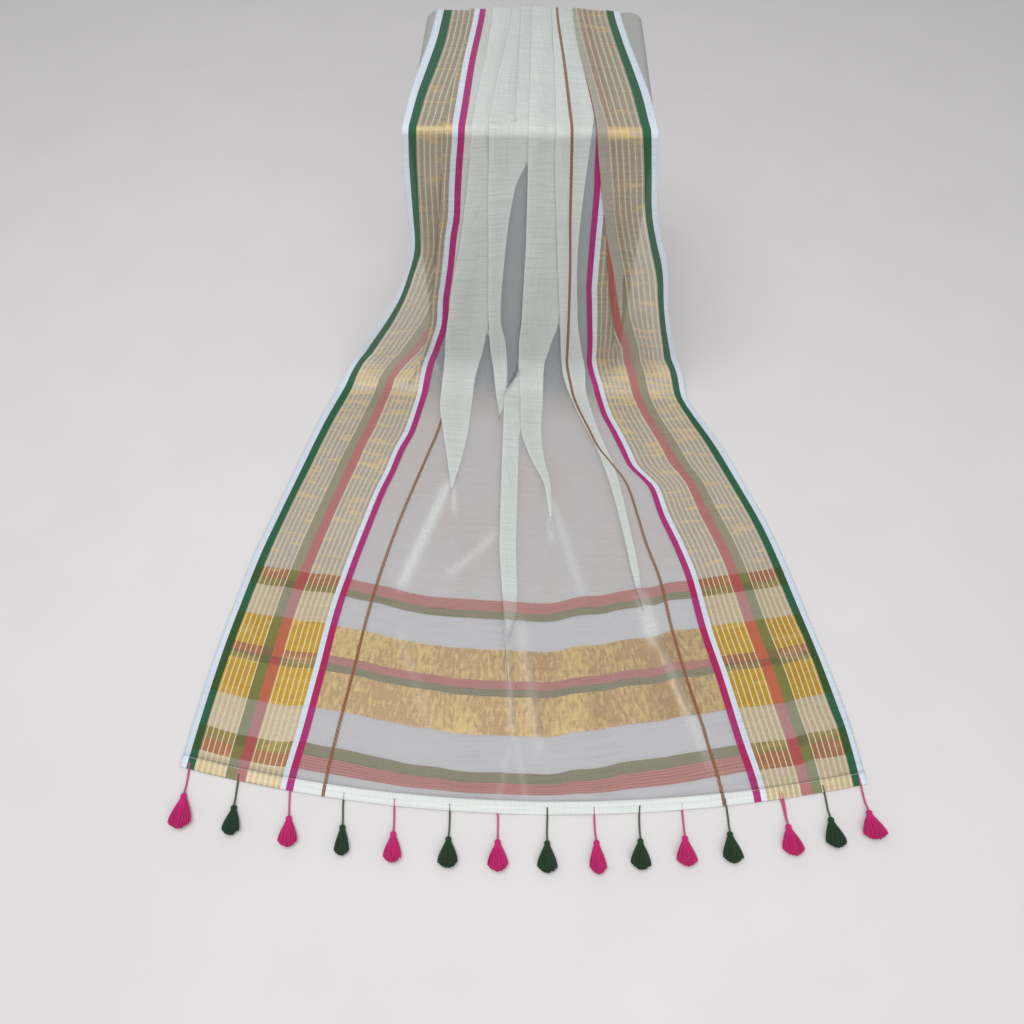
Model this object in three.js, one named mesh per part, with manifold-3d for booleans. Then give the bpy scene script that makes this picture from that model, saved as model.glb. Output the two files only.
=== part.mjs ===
// Saree draped over a plain display stand, with its pallu spread on the floor in front.
// Millimetres, +Z up. The viewer stands in front, at -Y. The origin is the centre of the stand's
// underside.
import * as THREE from "three";
import { mergeVertices } from "three/addons/utils/BufferGeometryUtils.js";
import Module from "manifold-3d";

const wasm = await Module();
wasm.setup();

// Driving sizes

const STAND = { width: 410, depth: 410, height: 572, cornerRadius: 25, edgeRadius: 12 };
const WALL = 1.0; // thickness of the cloth wall
const LAYER_PITCH = 2.0; // centre to centre of two layers of a pleat
const SEAM_GAP = 0.3; // between neighbouring pieces
const FOOT_RADIUS = 70; // where the hanging cloth turns out along the floor
const BACK_FOOT_RADIUS = 24; // and where it turns out behind the stand
const SPREAD_LENGTH = 938; // cloth on the floor, from the stand's front to the hem
const HEM_WIDTH = 20; // turned end of the pallu
const HEM_BOW = 58; // how far the middle of the hem lies in front of its corners
const BOW_STARTS_OVER = 300; // the bow grows over this length of floor
const HALF_HEM = 550;
const PALLU_LENGTH = 388; // the banded end piece
const STACK = {
  width: 348,
  depth: 300,
  layers: 10,
  layerHeight: 3.6,
  inset: 2.2, // of the groove between two layers
  cornerRadius: 18,
  standOff: 34,
};
const TASSEL = {
  cordLength: 38,
  cordRadius: 1.3,
  headLength: 13,
  headRadius: 5.2,
  skirtLength: 42,
  skirtHalfWidth: 17,
  rows: 2, // of strands, one over the other
  strandsPerRow: 4,
  strandRadius: 2.6,
  tipRadius: 2.1,
};

const FRONT = -STAND.depth / 2;
const BACK = STAND.depth / 2;
const STACK_HEIGHT = STACK.layers * STACK.layerHeight;

// "run" is the distance along the cloth from the stand's front edge: less than 0 on the stand's top
// and behind it, up to STAND.height on the hanging stretch, and more on the floor.
const FOOT_RUN = STAND.height;
const HEM_RUN = FOOT_RUN + SPREAD_LENGTH;
const PALLU_RUN = HEM_RUN - PALLU_LENGTH;
const BACK_EDGE_RUN = -STAND.depth;
const BACK_FOOT_RUN = BACK_EDGE_RUN - (STAND.height - STACK_HEIGHT);
const STACK_END_RUN = BACK_FOOT_RUN - STACK.standOff - STACK.depth;

// The two selvedges, as x at each run.
const SELVEDGES = [
  { run: STACK_END_RUN, left: -174, right: 174 },
  { run: BACK_FOOT_RUN, left: -176, right: 170 },
  { run: BACK_EDGE_RUN, left: -186, right: 163 },
  { run: -200, left: -200, right: 187 },
  { run: 0, left: -212, right: 206 },
  { run: 60, left: -217, right: 214 },
  { run: 150, left: -219, right: 228 },
  { run: 200, left: -220, right: 243 },
  { run: 250, left: -229, right: 262 },
  { run: 300, left: -245, right: 273 },
  { run: 350, left: -267, right: 281 },
  { run: 400, left: -298, right: 293 },
  { run: 450, left: -331, right: 308 },
  { run: 500, left: -363, right: 325 },
  { run: 572, left: -400, right: 347 },
  { run: 640, left: -424, right: 358 },
  { run: 690, left: -435, right: 377 },
  { run: 740, left: -445, right: 398 },
  { run: 800, left: -456, right: 419 },
  { run: 860, left: -467, right: 438 },
  { run: 1000, left: -495, right: 483 },
  { run: 1100, left: -515, right: 506 },
  { run: 1200, left: -528, right: 524 },
  { run: 1300, left: -540, right: 543 },
  { run: 1400, left: -547, right: 559 },
  { run: 1510, left: -552, right: 567 },
];

// Each pleat is a knife pleat: the cloth runs right to its tuck, back left to its fold, then right again.
// "fold" is the x of the edge that shows, "tuck" that of the hidden turn. Where tuck is left of fold
// the pleat is let out and the cloth is flat.
// A row of the wall lies where a pleat opens, with the fold straight over the tuck.
const RIGHT_BORDER_OPENS = 470;
const TONGUE_STARTS = FOOT_RUN - FOOT_RADIUS;
const LEFT_BORDER_OPENS = FOOT_RUN;
const SECOND_OPENS = FOOT_RUN + FOOT_RADIUS / 2;
const FIRST_OPENS = 893;
const OUTER_OPEN = 1010; // the third and the fourth
const PLEATS = [
  {
    name: "left border",
    at: [
      { run: STACK_END_RUN, fold: -122, tuck: -84 },
      { run: BACK_EDGE_RUN, fold: -123, tuck: -82 },
      { run: 0, fold: -142, tuck: -98 },
      { run: 200, fold: -167, tuck: -113 },
      { run: 300, fold: -184, tuck: -134 },
      { run: 400, fold: -200, tuck: -162 },
      { run: 480, fold: -218, tuck: -193 },
      { run: LEFT_BORDER_OPENS, fold: -246, tuck: -246 },
      { run: 600, fold: -255, tuck: -264 },
      { run: 650, fold: -268, tuck: -300 },
      { run: 1150, fold: -320, tuck: -370 },
    ],
  },
  {
    name: "first",
    at: [
      { run: STACK_END_RUN, fold: -80, tuck: -52 },
      { run: BACK_EDGE_RUN, fold: -78, tuck: -50 },
      { run: 0, fold: -97, tuck: -72 },
      { run: 200, fold: -125, tuck: -80 },
      { run: 400, fold: -163, tuck: -92 },
      { run: 572, fold: -182, tuck: -112 },
      { run: 650, fold: -187, tuck: -118 },
      { run: 800, fold: -166, tuck: -123 },
      { run: 870, fold: -150, tuck: -139 },
      { run: FIRST_OPENS, fold: -144, tuck: -144 },
      { run: 950, fold: -132, tuck: -160 },
      { run: 1150, fold: -120, tuck: -180 },
    ],
  },
  {
    name: "second",
    at: [
      { run: STACK_END_RUN, fold: -42, tuck: -12 },
      { run: BACK_EDGE_RUN, fold: -42, tuck: -12 },
      { run: 0, fold: -69, tuck: -12 },
      { run: 200, fold: -74, tuck: -42 },
      { run: 400, fold: -79, tuck: -65 },
      { run: 572, fold: -79, tuck: -70 },
      { run: SECOND_OPENS, fold: -73, tuck: -73 },
      { run: 640, fold: -66, tuck: -82 },
      { run: 740, fold: -62, tuck: -92 },
      { run: 1150, fold: -70, tuck: -100 },
    ],
  },
  {
    name: "centre tongue",
    at: [
      { run: STACK_END_RUN, fold: -10, tuck: -24 },
      { run: 440, fold: -26, tuck: -50 },
      { run: RIGHT_BORDER_OPENS, fold: -37, tuck: -41 },
      { run: TONGUE_STARTS, fold: -43, tuck: -43 },
      { run: 545, fold: -47, tuck: -25 },
      { run: 640, fold: -47, tuck: -15 },
      { run: 1000, fold: -44, tuck: -13 },
      { run: 1150, fold: -32, tuck: -8 },
      { run: 1300, fold: -15, tuck: 22 },
      { run: 1510, fold: 0, tuck: 20 },
    ],
  },
  {
    name: "third",
    at: [
      { run: STACK_END_RUN, fold: -2, tuck: 28 },
      { run: BACK_EDGE_RUN, fold: -4, tuck: 28 },
      { run: 0, fold: -4, tuck: 36 },
      { run: 200, fold: -5, tuck: 46 },
      { run: 400, fold: -11, tuck: 48 },
      { run: 572, fold: -15, tuck: 39 },
      { run: 640, fold: -11, tuck: 33 },
      { run: 780, fold: 10, tuck: 36 },
      { run: 870, fold: 38, tuck: 60 },
      { run: 960, fold: 66, tuck: 78 },
      { run: OUTER_OPEN, fold: 82, tuck: 82 },
      { run: 1040, fold: 92, tuck: 74 },
      { run: 1150, fold: 110, tuck: 60 },
    ],
  },
  {
    name: "fourth",
    at: [
      { run: STACK_END_RUN, fold: 36, tuck: 68 },
      { run: BACK_EDGE_RUN, fold: 34, tuck: 68 },
      { run: 0, fold: 40, tuck: 97 },
      { run: 200, fold: 52, tuck: 90 },
      { run: 400, fold: 68, tuck: 103 },
      { run: 572, fold: 83, tuck: 126 },
      { run: 640, fold: 98, tuck: 136 },
      { run: 740, fold: 124, tuck: 154 },
      { run: 860, fold: 161, tuck: 180 },
      { run: OUTER_OPEN, fold: 202, tuck: 202 },
      { run: 1080, fold: 222, tuck: 204 },
      { run: 1150, fold: 240, tuck: 190 },
    ],
  },
  {
    name: "right border",
    at: [
      { run: STACK_END_RUN, fold: 78, tuck: 122 },
      { run: BACK_EDGE_RUN, fold: 74, tuck: 118 },
      { run: 0, fold: 107, tuck: 154 },
      { run: 200, fold: 143, tuck: 176 },
      { run: 300, fold: 158, tuck: 178 },
      { run: 400, fold: 177, tuck: 192 },
      { run: RIGHT_BORDER_OPENS, fold: 190, tuck: 190 },
      { run: 502, fold: 202, tuck: 187 },
      { run: 560, fold: 220, tuck: 196 },
      { run: 700, fold: 286, tuck: 246 },
      { run: 1150, fold: 370, tuck: 310 },
    ],
  },
];
const CENTRE_TONGUE = PLEATS.filter((pleat) => pleat.name === "centre tongue");

// Tassels along the hem: x of the cord's root, and how far the tassel leans to +X, in degrees.
const TASSELS = [
  { x: -537, lean: 6 },
  { x: -452, lean: 5 },
  { x: -364, lean: 8 },
  { x: -276, lean: 6 },
  { x: -194, lean: 4 },
  { x: -106, lean: 2 },
  { x: -30, lean: 3 },
  { x: 49, lean: 0 },
  { x: 124, lean: 2 },
  { x: 196, lean: -3 },
  { x: 264, lean: -1 },
  { x: 334, lean: 0 },
  { x: 424, lean: 4 },
  { x: 494, lean: 2 },
  { x: 556, lean: 3 },
];

const material = (color, roughness, metalness = 0) =>
  new THREE.MeshStandardMaterial({ color, roughness, metalness });

const MATERIALS = {
  cotton: material(0xd6ddd4, 0.85),
  zari: material(0xc9a44a, 0.5, 0.3),
  hem: material(0xe9ece6, 0.85),
  stand: material(0xb4aea2, 0.6),
  pink: material(0xd41a78, 0.8),
  green: material(0x1d5a30, 0.8),
};

// Interpolation

const smooth = (t) => {
  const c = Math.min(1, Math.max(0, t));
  return c * c * (3 - 2 * c);
};

// A column of a table at a run, on a smooth curve that doesn't overshoot between two rows.
function columnAt(table, column, run) {
  const last = table.length - 1;
  if (run <= table[0].run) return table[0][column];
  if (run >= table[last].run) return table[last][column];
  const i = table.findIndex((row) => row.run > run) - 1;
  const slope = (k) =>
    k < 0 || k >= last ? 0 : (table[k + 1][column] - table[k][column]) / (table[k + 1].run - table[k].run);
  const tangent = (k) => {
    const before = slope(k - 1);
    const after = slope(k);
    return before * after <= 0 ? 0 : (2 * before * after) / (before + after);
  };
  const length = table[i + 1].run - table[i].run;
  const t = (run - table[i].run) / length;
  const rise = table[i + 1][column] - table[i][column];
  const ease = t * t * (3 - 2 * t);
  return (
    table[i][column] + ease * rise +
    length * (t * (1 - t) * (1 - t) * tangent(i) - t * t * (1 - t) * tangent(i + 1))
  );
}

// Side view: the line that the cloth's underside follows

const SIDE_LINE = [
  { y: BACK + STACK.standOff + STACK.depth, z: STACK_HEIGHT + SEAM_GAP, radius: 0 },
  { y: BACK + SEAM_GAP, z: STACK_HEIGHT + SEAM_GAP, radius: BACK_FOOT_RADIUS },
  { y: BACK + SEAM_GAP, z: STAND.height + SEAM_GAP, radius: STAND.edgeRadius },
  { y: FRONT - SEAM_GAP, z: STAND.height + SEAM_GAP, radius: STAND.edgeRadius },
  { y: FRONT - SEAM_GAP, z: 0, radius: FOOT_RADIUS },
  { y: FRONT - SPREAD_LENGTH, z: 0, radius: 0 },
];
const CORNER_RUNS = [STACK_END_RUN, BACK_FOOT_RUN, BACK_EDGE_RUN, 0, FOOT_RUN, HEM_RUN];

// The point of the side line at a run, and the direction away from what the cloth lies on.
function sideAt(run) {
  const corner = CORNER_RUNS.findIndex(
    (at, i) => Math.abs(run - at) < SIDE_LINE[i].radius
  );
  const heading = (i) => {
    const from = SIDE_LINE[i];
    const to = SIDE_LINE[i + 1];
    return new THREE.Vector2(to.y - from.y, to.z - from.z).normalize();
  };
  if (corner > 0) {
    const { y, z, radius } = SIDE_LINE[corner];
    const before = heading(corner - 1);
    const after = heading(corner);
    const turn = ((run - CORNER_RUNS[corner] + radius) / (2 * radius)) * (Math.PI / 2);
    const centre = new THREE.Vector2(y, z).addScaledVector(before, -radius).addScaledVector(after, radius);
    const spoke = after.clone().multiplyScalar(-Math.cos(turn)).addScaledVector(before, Math.sin(turn));
    const point = centre.addScaledVector(spoke, radius);
    const convex = before.x * after.y - before.y * after.x > 0 ? 1 : -1;
    return { y: point.x, z: point.y, out: spoke.multiplyScalar(convex) };
  }
  const next = Math.max(1, CORNER_RUNS.findIndex((at) => at >= run));
  const t = (run - CORNER_RUNS[next - 1]) / (CORNER_RUNS[next] - CORNER_RUNS[next - 1]);
  const from = SIDE_LINE[next - 1];
  const to = SIDE_LINE[next];
  const along = heading(next - 1);
  return {
    y: from.y + t * (to.y - from.y),
    z: from.z + t * (to.z - from.z),
    out: new THREE.Vector2(along.y, -along.x),
  };
}

// How far a point at x lies behind the middle of its row, because the rows of the spread bow forward.
function bowAt(run, x) {
  const grown = smooth((run - FOOT_RUN) / BOW_STARTS_OVER);
  return HEM_BOW * grown * (x / HALF_HEM) ** 2;
}

// Cross-section: one row of the pleated cloth

const FLAT_BESIDE_TURN = 4; // a layer lies level this far past the turn that it covers
const FALL_LENGTH = 45; // then comes down over this length
const LET_OUT_OVER = 12; // a pleat's height goes while its tuck moves this far left of its fold
const TURN_GOES_OVER = 3; // and the roundness of its turns goes over this, before it opens

// The stretches of one row: right to a tuck, left to a fold, right to the next tuck, and so on.
function stretchesAt(run, pleats) {
  const ends = [columnAt(SELVEDGES, "left", run)];
  const weights = [];
  const turns = [];
  for (const pleat of pleats) {
    const fold = columnAt(pleat.at, "fold", run);
    const tuck = columnAt(pleat.at, "tuck", run);
    const weight = smooth(1 + (tuck - fold) / LET_OUT_OVER);
    const roundness = smooth((tuck - fold) / TURN_GOES_OVER);
    ends.push(tuck, fold);
    weights.push(weight, weight);
    turns.push(roundness, roundness);
  }
  ends.push(columnAt(SELVEDGES, "right", run));
  weights.push(0);
  turns.push(0);
  return weights.map((weight, i) => ({
    from: ends[i],
    to: ends[i + 1],
    weight,
    roundness: turns[i],
  }));
}

// How much a stretch lifts what lies over it at x: 1 on it, and 0 well past its turn.
function liftAt(stretch, x) {
  const left = Math.min(stretch.from, stretch.to);
  const right = Math.max(stretch.from, stretch.to);
  const past = Math.max(left - x, x - right) - FLAT_BESIDE_TURN;
  return stretch.weight * (1 - smooth(past / FALL_LENGTH));
}

// The middle line of a row, as points (x, height over the side line).
function middleLine(run, pleats, stepsForward, stepsBack) {
  const stretches = stretchesAt(run, pleats);
  const height = (i, x) =>
    WALL / 2 + LAYER_PITCH * stretches.slice(0, i).reduce((sum, stretch) => sum + liftAt(stretch, x), 0);
  const line = [];
  stretches.forEach((stretch, i) => {
    const forward = i % 2 === 0;
    const steps = forward ? stepsForward : stepsBack;
    for (let k = 0; k <= steps; k += 1) {
      const x = stretch.from + ((stretch.to - stretch.from) * k) / steps;
      line.push(new THREE.Vector2(x, height(i, x)));
    }
    if (i < stretches.length - 1) {
      const end = stretch.to;
      const bulge = (forward ? 1 : -1) * (LAYER_PITCH / 2) * stretch.roundness;
      line.push(new THREE.Vector2(end + bulge, (height(i, end) + height(i + 1, end)) / 2));
    }
  });
  return line;
}

// A line moved sideways by a distance, with mitred corners. Points that coincide move together.
function movedSideways(line, distance) {
  const MITRE_LIMIT = 1.5;
  const SMALLEST_COSINE = 0.1;
  const SAME_POINT = 0.001;
  const directionFrom = (i, step) => {
    let k = i + step;
    while (line[k] && line[k].distanceTo(line[i]) < SAME_POINT) k += step;
    return line[k] ? line[k].clone().sub(line[i]).multiplyScalar(step).normalize() : null;
  };
  return line.map((point, i) => {
    const before = directionFrom(i, -1) ?? directionFrom(i, 1);
    const after = directionFrom(i, 1) ?? before;
    const normal = new THREE.Vector2(-before.y - after.y, before.x + after.x).normalize();
    const cosine = normal.dot(new THREE.Vector2(-before.y, before.x));
    const mitre = Math.min(MITRE_LIMIT, 1 / Math.max(SMALLEST_COSINE, cosine));
    return point.clone().addScaledVector(normal, distance * mitre);
  });
}

// Cloth wall

// A closed wall from rows of the cloth: the same pleats in each row, one row at each run.
function clothWall(runs, pleats, { stepsForward, stepsBack, wall = WALL }) {
  const rings = runs.map((run) => {
    const line = middleLine(run, pleats, stepsForward, stepsBack);
    const lower = movedSideways(line, -WALL / 2);
    const upper = movedSideways(line, wall - WALL / 2);
    const side = sideAt(run);
    const place = ({ x, y: height }) =>
      new THREE.Vector3(
        x,
        side.y + side.out.x * Math.max(0, height) + bowAt(run, x),
        side.z + side.out.y * Math.max(0, height)
      );
    return [...lower.map(place), ...upper.reverse().map(place)];
  });
  return loft(rings);
}

// Joins closed rings with the same number of points into one solid with flat ends. The second half
// of a ring is split along the other diagonal, so both sides of a wall have the same facets.
function loft(rings) {
  const size = rings[0].length;
  const half = size / 2;
  const positions = rings.flat().flatMap((point) => point.toArray());
  const faces = [];
  const at = (ring, i) => ring * size + (i % size);
  for (let r = 0; r < rings.length - 1; r += 1) {
    for (let i = 0; i < size; i += 1) {
      const quad = [at(r, i), at(r, i + 1), at(r + 1, i + 1), at(r + 1, i)];
      const [a, b, c, d] = i < half ? quad : [quad[1], quad[2], quad[3], quad[0]];
      faces.push(a, b, c, a, c, d);
    }
  }
  for (let i = 0; i < half - 1; i += 1) {
    const across = [i, i + 1, size - 2 - i, size - 1 - i];
    const [a, b, c, d] = across;
    faces.push(at(0, a), at(0, c), at(0, b), at(0, a), at(0, d), at(0, c));
    const end = rings.length - 1;
    faces.push(at(end, a), at(end, b), at(end, c), at(end, a), at(end, c), at(end, d));
  }
  const geometry = new THREE.BufferGeometry();
  geometry.setAttribute("position", new THREE.Float32BufferAttribute(positions, 3));
  geometry.setIndex(faces);
  return facingOut(geometry);
}

// Turns a closed geometry's faces outward, whichever way round its rings were made.
function facingOut(geometry) {
  const p = geometry.getAttribute("position");
  const index = geometry.getIndex().array;
  const [a, b, c] = [new THREE.Vector3(), new THREE.Vector3(), new THREE.Vector3()];
  let volume = 0;
  for (let i = 0; i < index.length; i += 3) {
    a.fromBufferAttribute(p, index[i]);
    b.fromBufferAttribute(p, index[i + 1]);
    c.fromBufferAttribute(p, index[i + 2]);
    volume += a.dot(b.cross(c));
  }
  if (volume < 0) {
    for (let i = 0; i < index.length; i += 3) [index[i], index[i + 1]] = [index[i + 1], index[i]];
  }
  return geometry;
}

// Runs from one to another, close together round a bend, with a row at each given place.
function runsBetween(start, end, step, bends = [], places = []) {
  const stops = [start, end, ...places];
  for (const { at, radius, parts } of bends) {
    for (let i = 0; i <= parts; i += 1) stops.push(at - radius + (2 * radius * i) / parts);
  }
  const inside = stops.filter((stop) => stop >= start && stop <= end);
  const sorted = [...new Set(inside)].sort((p, q) => p - q);
  const runs = [sorted[0]];
  for (const stop of sorted.slice(1)) {
    const from = runs[runs.length - 1];
    const parts = Math.max(1, Math.round((stop - from) / step));
    for (let i = 1; i <= parts; i += 1) runs.push(from + ((stop - from) * i) / parts);
  }
  return runs;
}

// Stand: a plain plinth with rounded corners

function standGeometry() {
  const { width, depth, height, cornerRadius, edgeRadius } = STAND;
  const halfX = width / 2 - edgeRadius;
  const halfY = depth / 2 - edgeRadius;
  const r = cornerRadius - edgeRadius;
  const outline = new THREE.Shape();
  outline.moveTo(-halfX + r, -halfY);
  outline.lineTo(halfX - r, -halfY);
  outline.absarc(halfX - r, -halfY + r, r, -Math.PI / 2, 0);
  outline.lineTo(halfX, halfY - r);
  outline.absarc(halfX - r, halfY - r, r, 0, Math.PI / 2);
  outline.lineTo(-halfX + r, halfY);
  outline.absarc(-halfX + r, halfY - r, r, Math.PI / 2, Math.PI);
  outline.lineTo(-halfX, -halfY + r);
  outline.absarc(-halfX + r, -halfY + r, r, Math.PI, 1.5 * Math.PI);
  const solid = new THREE.ExtrudeGeometry(outline, {
    depth: height - 2 * edgeRadius,
    bevelThickness: edgeRadius,
    bevelSize: edgeRadius,
    bevelSegments: 2,
    curveSegments: 4,
  });
  solid.translate(0, 0, edgeRadius);
  return solid;
}

// Folded length behind the stand: one rounded solid, with a groove between each two layers at its edges

function stackGeometry() {
  const CORNER_PARTS = 3;
  const { width, depth, layers, layerHeight, inset, cornerRadius } = STACK;
  const centreY = BACK + STACK.standOff + depth / 2;
  const ring = (z, inward) => {
    const points = [];
    const halfX = width / 2 - inward - cornerRadius;
    const halfY = depth / 2 - inward - cornerRadius;
    const corners = [[1, 1], [-1, 1], [-1, -1], [1, -1]];
    corners.forEach(([sx, sy], quarter) => {
      for (let i = 0; i <= CORNER_PARTS; i += 1) {
        const angle = (Math.PI / 2) * (quarter + i / CORNER_PARTS);
        points.push(new THREE.Vector3(
          sx * halfX + cornerRadius * Math.cos(angle),
          centreY + sy * halfY + cornerRadius * Math.sin(angle),
          z
        ));
      }
    });
    return points;
  };
  const rings = [];
  for (let layer = 0; layer < layers; layer += 1) {
    rings.push(ring(layer * layerHeight, inset), ring((layer + 0.5) * layerHeight, 0));
  }
  rings.push(ring(layers * layerHeight, inset));
  return loft(rings);
}

// Tassel: a cord, a bound head and a fan of strands, lying on the floor with its root at the origin

function tube(points, radii, sides) {
  const rings = points.map((point, i) => {
    const before = points[Math.max(0, i - 1)];
    const after = points[Math.min(points.length - 1, i + 1)];
    const along = after.clone().sub(before).normalize();
    const across = new THREE.Vector3(1, 0, 0).addScaledVector(along, -along.x).normalize();
    const up = new THREE.Vector3().crossVectors(across, along);
    return Array.from({ length: sides }, (_, k) => {
      const angle = (2 * Math.PI * k) / sides + Math.PI / 2;
      return point.clone()
        .addScaledVector(across, radii[i] * Math.cos(angle))
        .addScaledVector(up, radii[i] * Math.sin(angle));
    });
  });
  return loft(rings);
}

function manifoldOf(geometry) {
  const bare = geometry.clone();
  bare.deleteAttribute("normal");
  bare.deleteAttribute("uv");
  const merged = mergeVertices(bare);
  return new wasm.Manifold(new wasm.Mesh({
    numProp: 3,
    vertProperties: merged.getAttribute("position").array,
    triVerts: Uint32Array.from(merged.getIndex().array),
  }));
}

function geometryOf(manifold) {
  const mesh = manifold.getMesh();
  const geometry = new THREE.BufferGeometry();
  geometry.setAttribute("position", new THREE.Float32BufferAttribute(mesh.vertProperties, 3));
  geometry.setIndex(Array.from(mesh.triVerts));
  return geometry;
}

// One strand: from inside the head, over a belly, to its tip on the floor.
function strandGeometry(row, place) {
  const { cordLength, headLength, headRadius, skirtLength, skirtHalfWidth, strandRadius, tipRadius } = TASSEL;
  const SIDES = 3;
  const ROOT_SPREAD = 0.55; // of the head's radius
  const BELLY = 1.1; // the strand is this much wider at its middle than a straight one
  const OUTER_SHORTER = 0.12; // of its length
  const UPPER_ROW_RISE = 6.8;
  const UPPER_ROW_DROOP = 0.4; // less rise at the sides
  const TIP_RISE = 0.25;
  const root = cordLength + headLength * 0.7;
  const length = skirtLength * (1 - OUTER_SHORTER * place * place);
  const rootX = place * headRadius * ROOT_SPREAD;
  const tipX = place * skirtHalfWidth;
  const rootZ = headHeight() + (row - 0.5) * headRadius * 0.5;
  const tipZ = strandRadius + TIP_RISE + row * UPPER_ROW_RISE * (1 - UPPER_ROW_DROOP * place * place);
  return tube(
    [
      new THREE.Vector3(rootX, -root, rootZ),
      new THREE.Vector3((rootX + tipX * BELLY) / 2, -root - length / 2, (rootZ + tipZ) / 2 + row * 2),
      new THREE.Vector3(tipX, -root - length, tipZ),
    ],
    [strandRadius, strandRadius, tipRadius],
    SIDES
  );
}

const ABOVE_FLOOR = 0.2;
const headHeight = () => TASSEL.headRadius + ABOVE_FLOOR;

function tasselGeometry() {
  const { cordLength, cordRadius, headLength, headRadius, rows, strandsPerRow } = TASSEL;
  const CORD_SIDES = 3;
  const HEAD_SIDES = 6;
  const HEAD_RINGS = 4;
  const ROW_SHIFT = 0.29; // of a strand's place, from one row to the next
  const cordZ = cordRadius + ABOVE_FLOOR;
  const cord = tube(
    [
      new THREE.Vector3(0, -SEAM_GAP, cordZ),
      new THREE.Vector3(0, -cordLength * 0.7, cordZ),
      new THREE.Vector3(0, -cordLength - headLength * 0.3, headHeight()),
    ],
    [cordRadius, cordRadius, cordRadius],
    CORD_SIDES
  );
  const head = new THREE.SphereGeometry(1, HEAD_SIDES, HEAD_RINGS);
  head.scale(headRadius, headLength / 2, headRadius);
  head.translate(0, -cordLength - headLength / 2, headHeight());
  let solid = manifoldOf(cord).add(manifoldOf(head));
  for (let row = 0; row < rows; row += 1) {
    for (let i = 0; i < strandsPerRow; i += 1) {
      const place = (2 * (i + 0.5 + row * ROW_SHIFT)) / strandsPerRow - 1;
      solid = solid.add(manifoldOf(strandGeometry(row, place)));
    }
  }
  return geometryOf(solid);
}

// Assembly

const group = new THREE.Group();

function addPiece(name, geometry, pieceMaterial) {
  const mesh = new THREE.Mesh(geometry, pieceMaterial);
  mesh.name = name;
  group.add(mesh);
  return mesh;
}

// Steps along each stretch of a row, and millimetres between rows
const FINE = { stepsForward: 4, stepsBack: 2 };
const PLAIN = { stepsForward: 3, stepsBack: 2 };
const OPEN = { stepsForward: 12, stepsBack: 2 };
const ROWS = { back: 260, top: 200, drop: 60, spread: 58, pallu: 62 };
const EDGE = STAND.edgeRadius;
const HEM_WALL = 1.4 * WALL;

addPiece("stand", standGeometry(), MATERIALS.stand);
addPiece("saree_folded", stackGeometry(), MATERIALS.cotton);

const backBends = [{ at: BACK_FOOT_RUN, radius: BACK_FOOT_RADIUS, parts: 3 }];
addPiece(
  "saree_back",
  clothWall(runsBetween(STACK_END_RUN, BACK_EDGE_RUN - EDGE, ROWS.back, backBends), PLEATS, PLAIN),
  MATERIALS.cotton
);
const topBends = [BACK_EDGE_RUN, 0].map((at) => ({ at, radius: EDGE, parts: 2 }));
addPiece(
  "saree_top",
  clothWall(runsBetween(BACK_EDGE_RUN - EDGE + SEAM_GAP, EDGE, ROWS.top, topBends), PLEATS, PLAIN),
  MATERIALS.cotton
);
const footBends = [{ at: FOOT_RUN, radius: FOOT_RADIUS, parts: 4 }];
addPiece(
  "saree_drop",
  clothWall(
    runsBetween(EDGE + SEAM_GAP, FOOT_RUN + FOOT_RADIUS, ROWS.drop, footBends, [RIGHT_BORDER_OPENS]),
    PLEATS,
    FINE
  ),
  MATERIALS.cotton
);
addPiece(
  "saree_spread",
  clothWall(
    runsBetween(
      FOOT_RUN + FOOT_RADIUS + SEAM_GAP,
      PALLU_RUN - SEAM_GAP,
      ROWS.spread,
      [],
      [FIRST_OPENS, OUTER_OPEN]
    ),
    PLEATS,
    FINE
  ),
  MATERIALS.cotton
);
addPiece(
  "saree_pallu",
  clothWall(runsBetween(PALLU_RUN, HEM_RUN - HEM_WIDTH - SEAM_GAP, ROWS.pallu), CENTRE_TONGUE, OPEN),
  MATERIALS.zari
);
addPiece(
  "pallu_hem",
  clothWall([HEM_RUN - HEM_WIDTH, HEM_RUN], CENTRE_TONGUE, { ...OPEN, wall: HEM_WALL }),
  MATERIALS.hem
);

const tassel = tasselGeometry();
TASSELS.forEach(({ x, lean }, i) => {
  const number = String(i + 1).padStart(2, "0");
  const piece = addPiece(`tassel_${number}`, tassel, i % 2 === 0 ? MATERIALS.pink : MATERIALS.green);
  piece.position.set(x, FRONT - SPREAD_LENGTH + bowAt(HEM_RUN, x), 0);
  piece.rotation.z = THREE.MathUtils.degToRad(lean);
});

export default group;
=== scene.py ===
"""Cotton saree with zari borders, draped over a plain stand, with its pallu spread on the floor.

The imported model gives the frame. Lengths in the tables are millimetres, and every mesh is in metres.
"""
import logging
import math
from dataclasses import dataclass
from enum import Enum
from typing import Any, Callable, NamedTuple, Sequence

import bpy
import numpy as np
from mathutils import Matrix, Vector, noise


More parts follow.
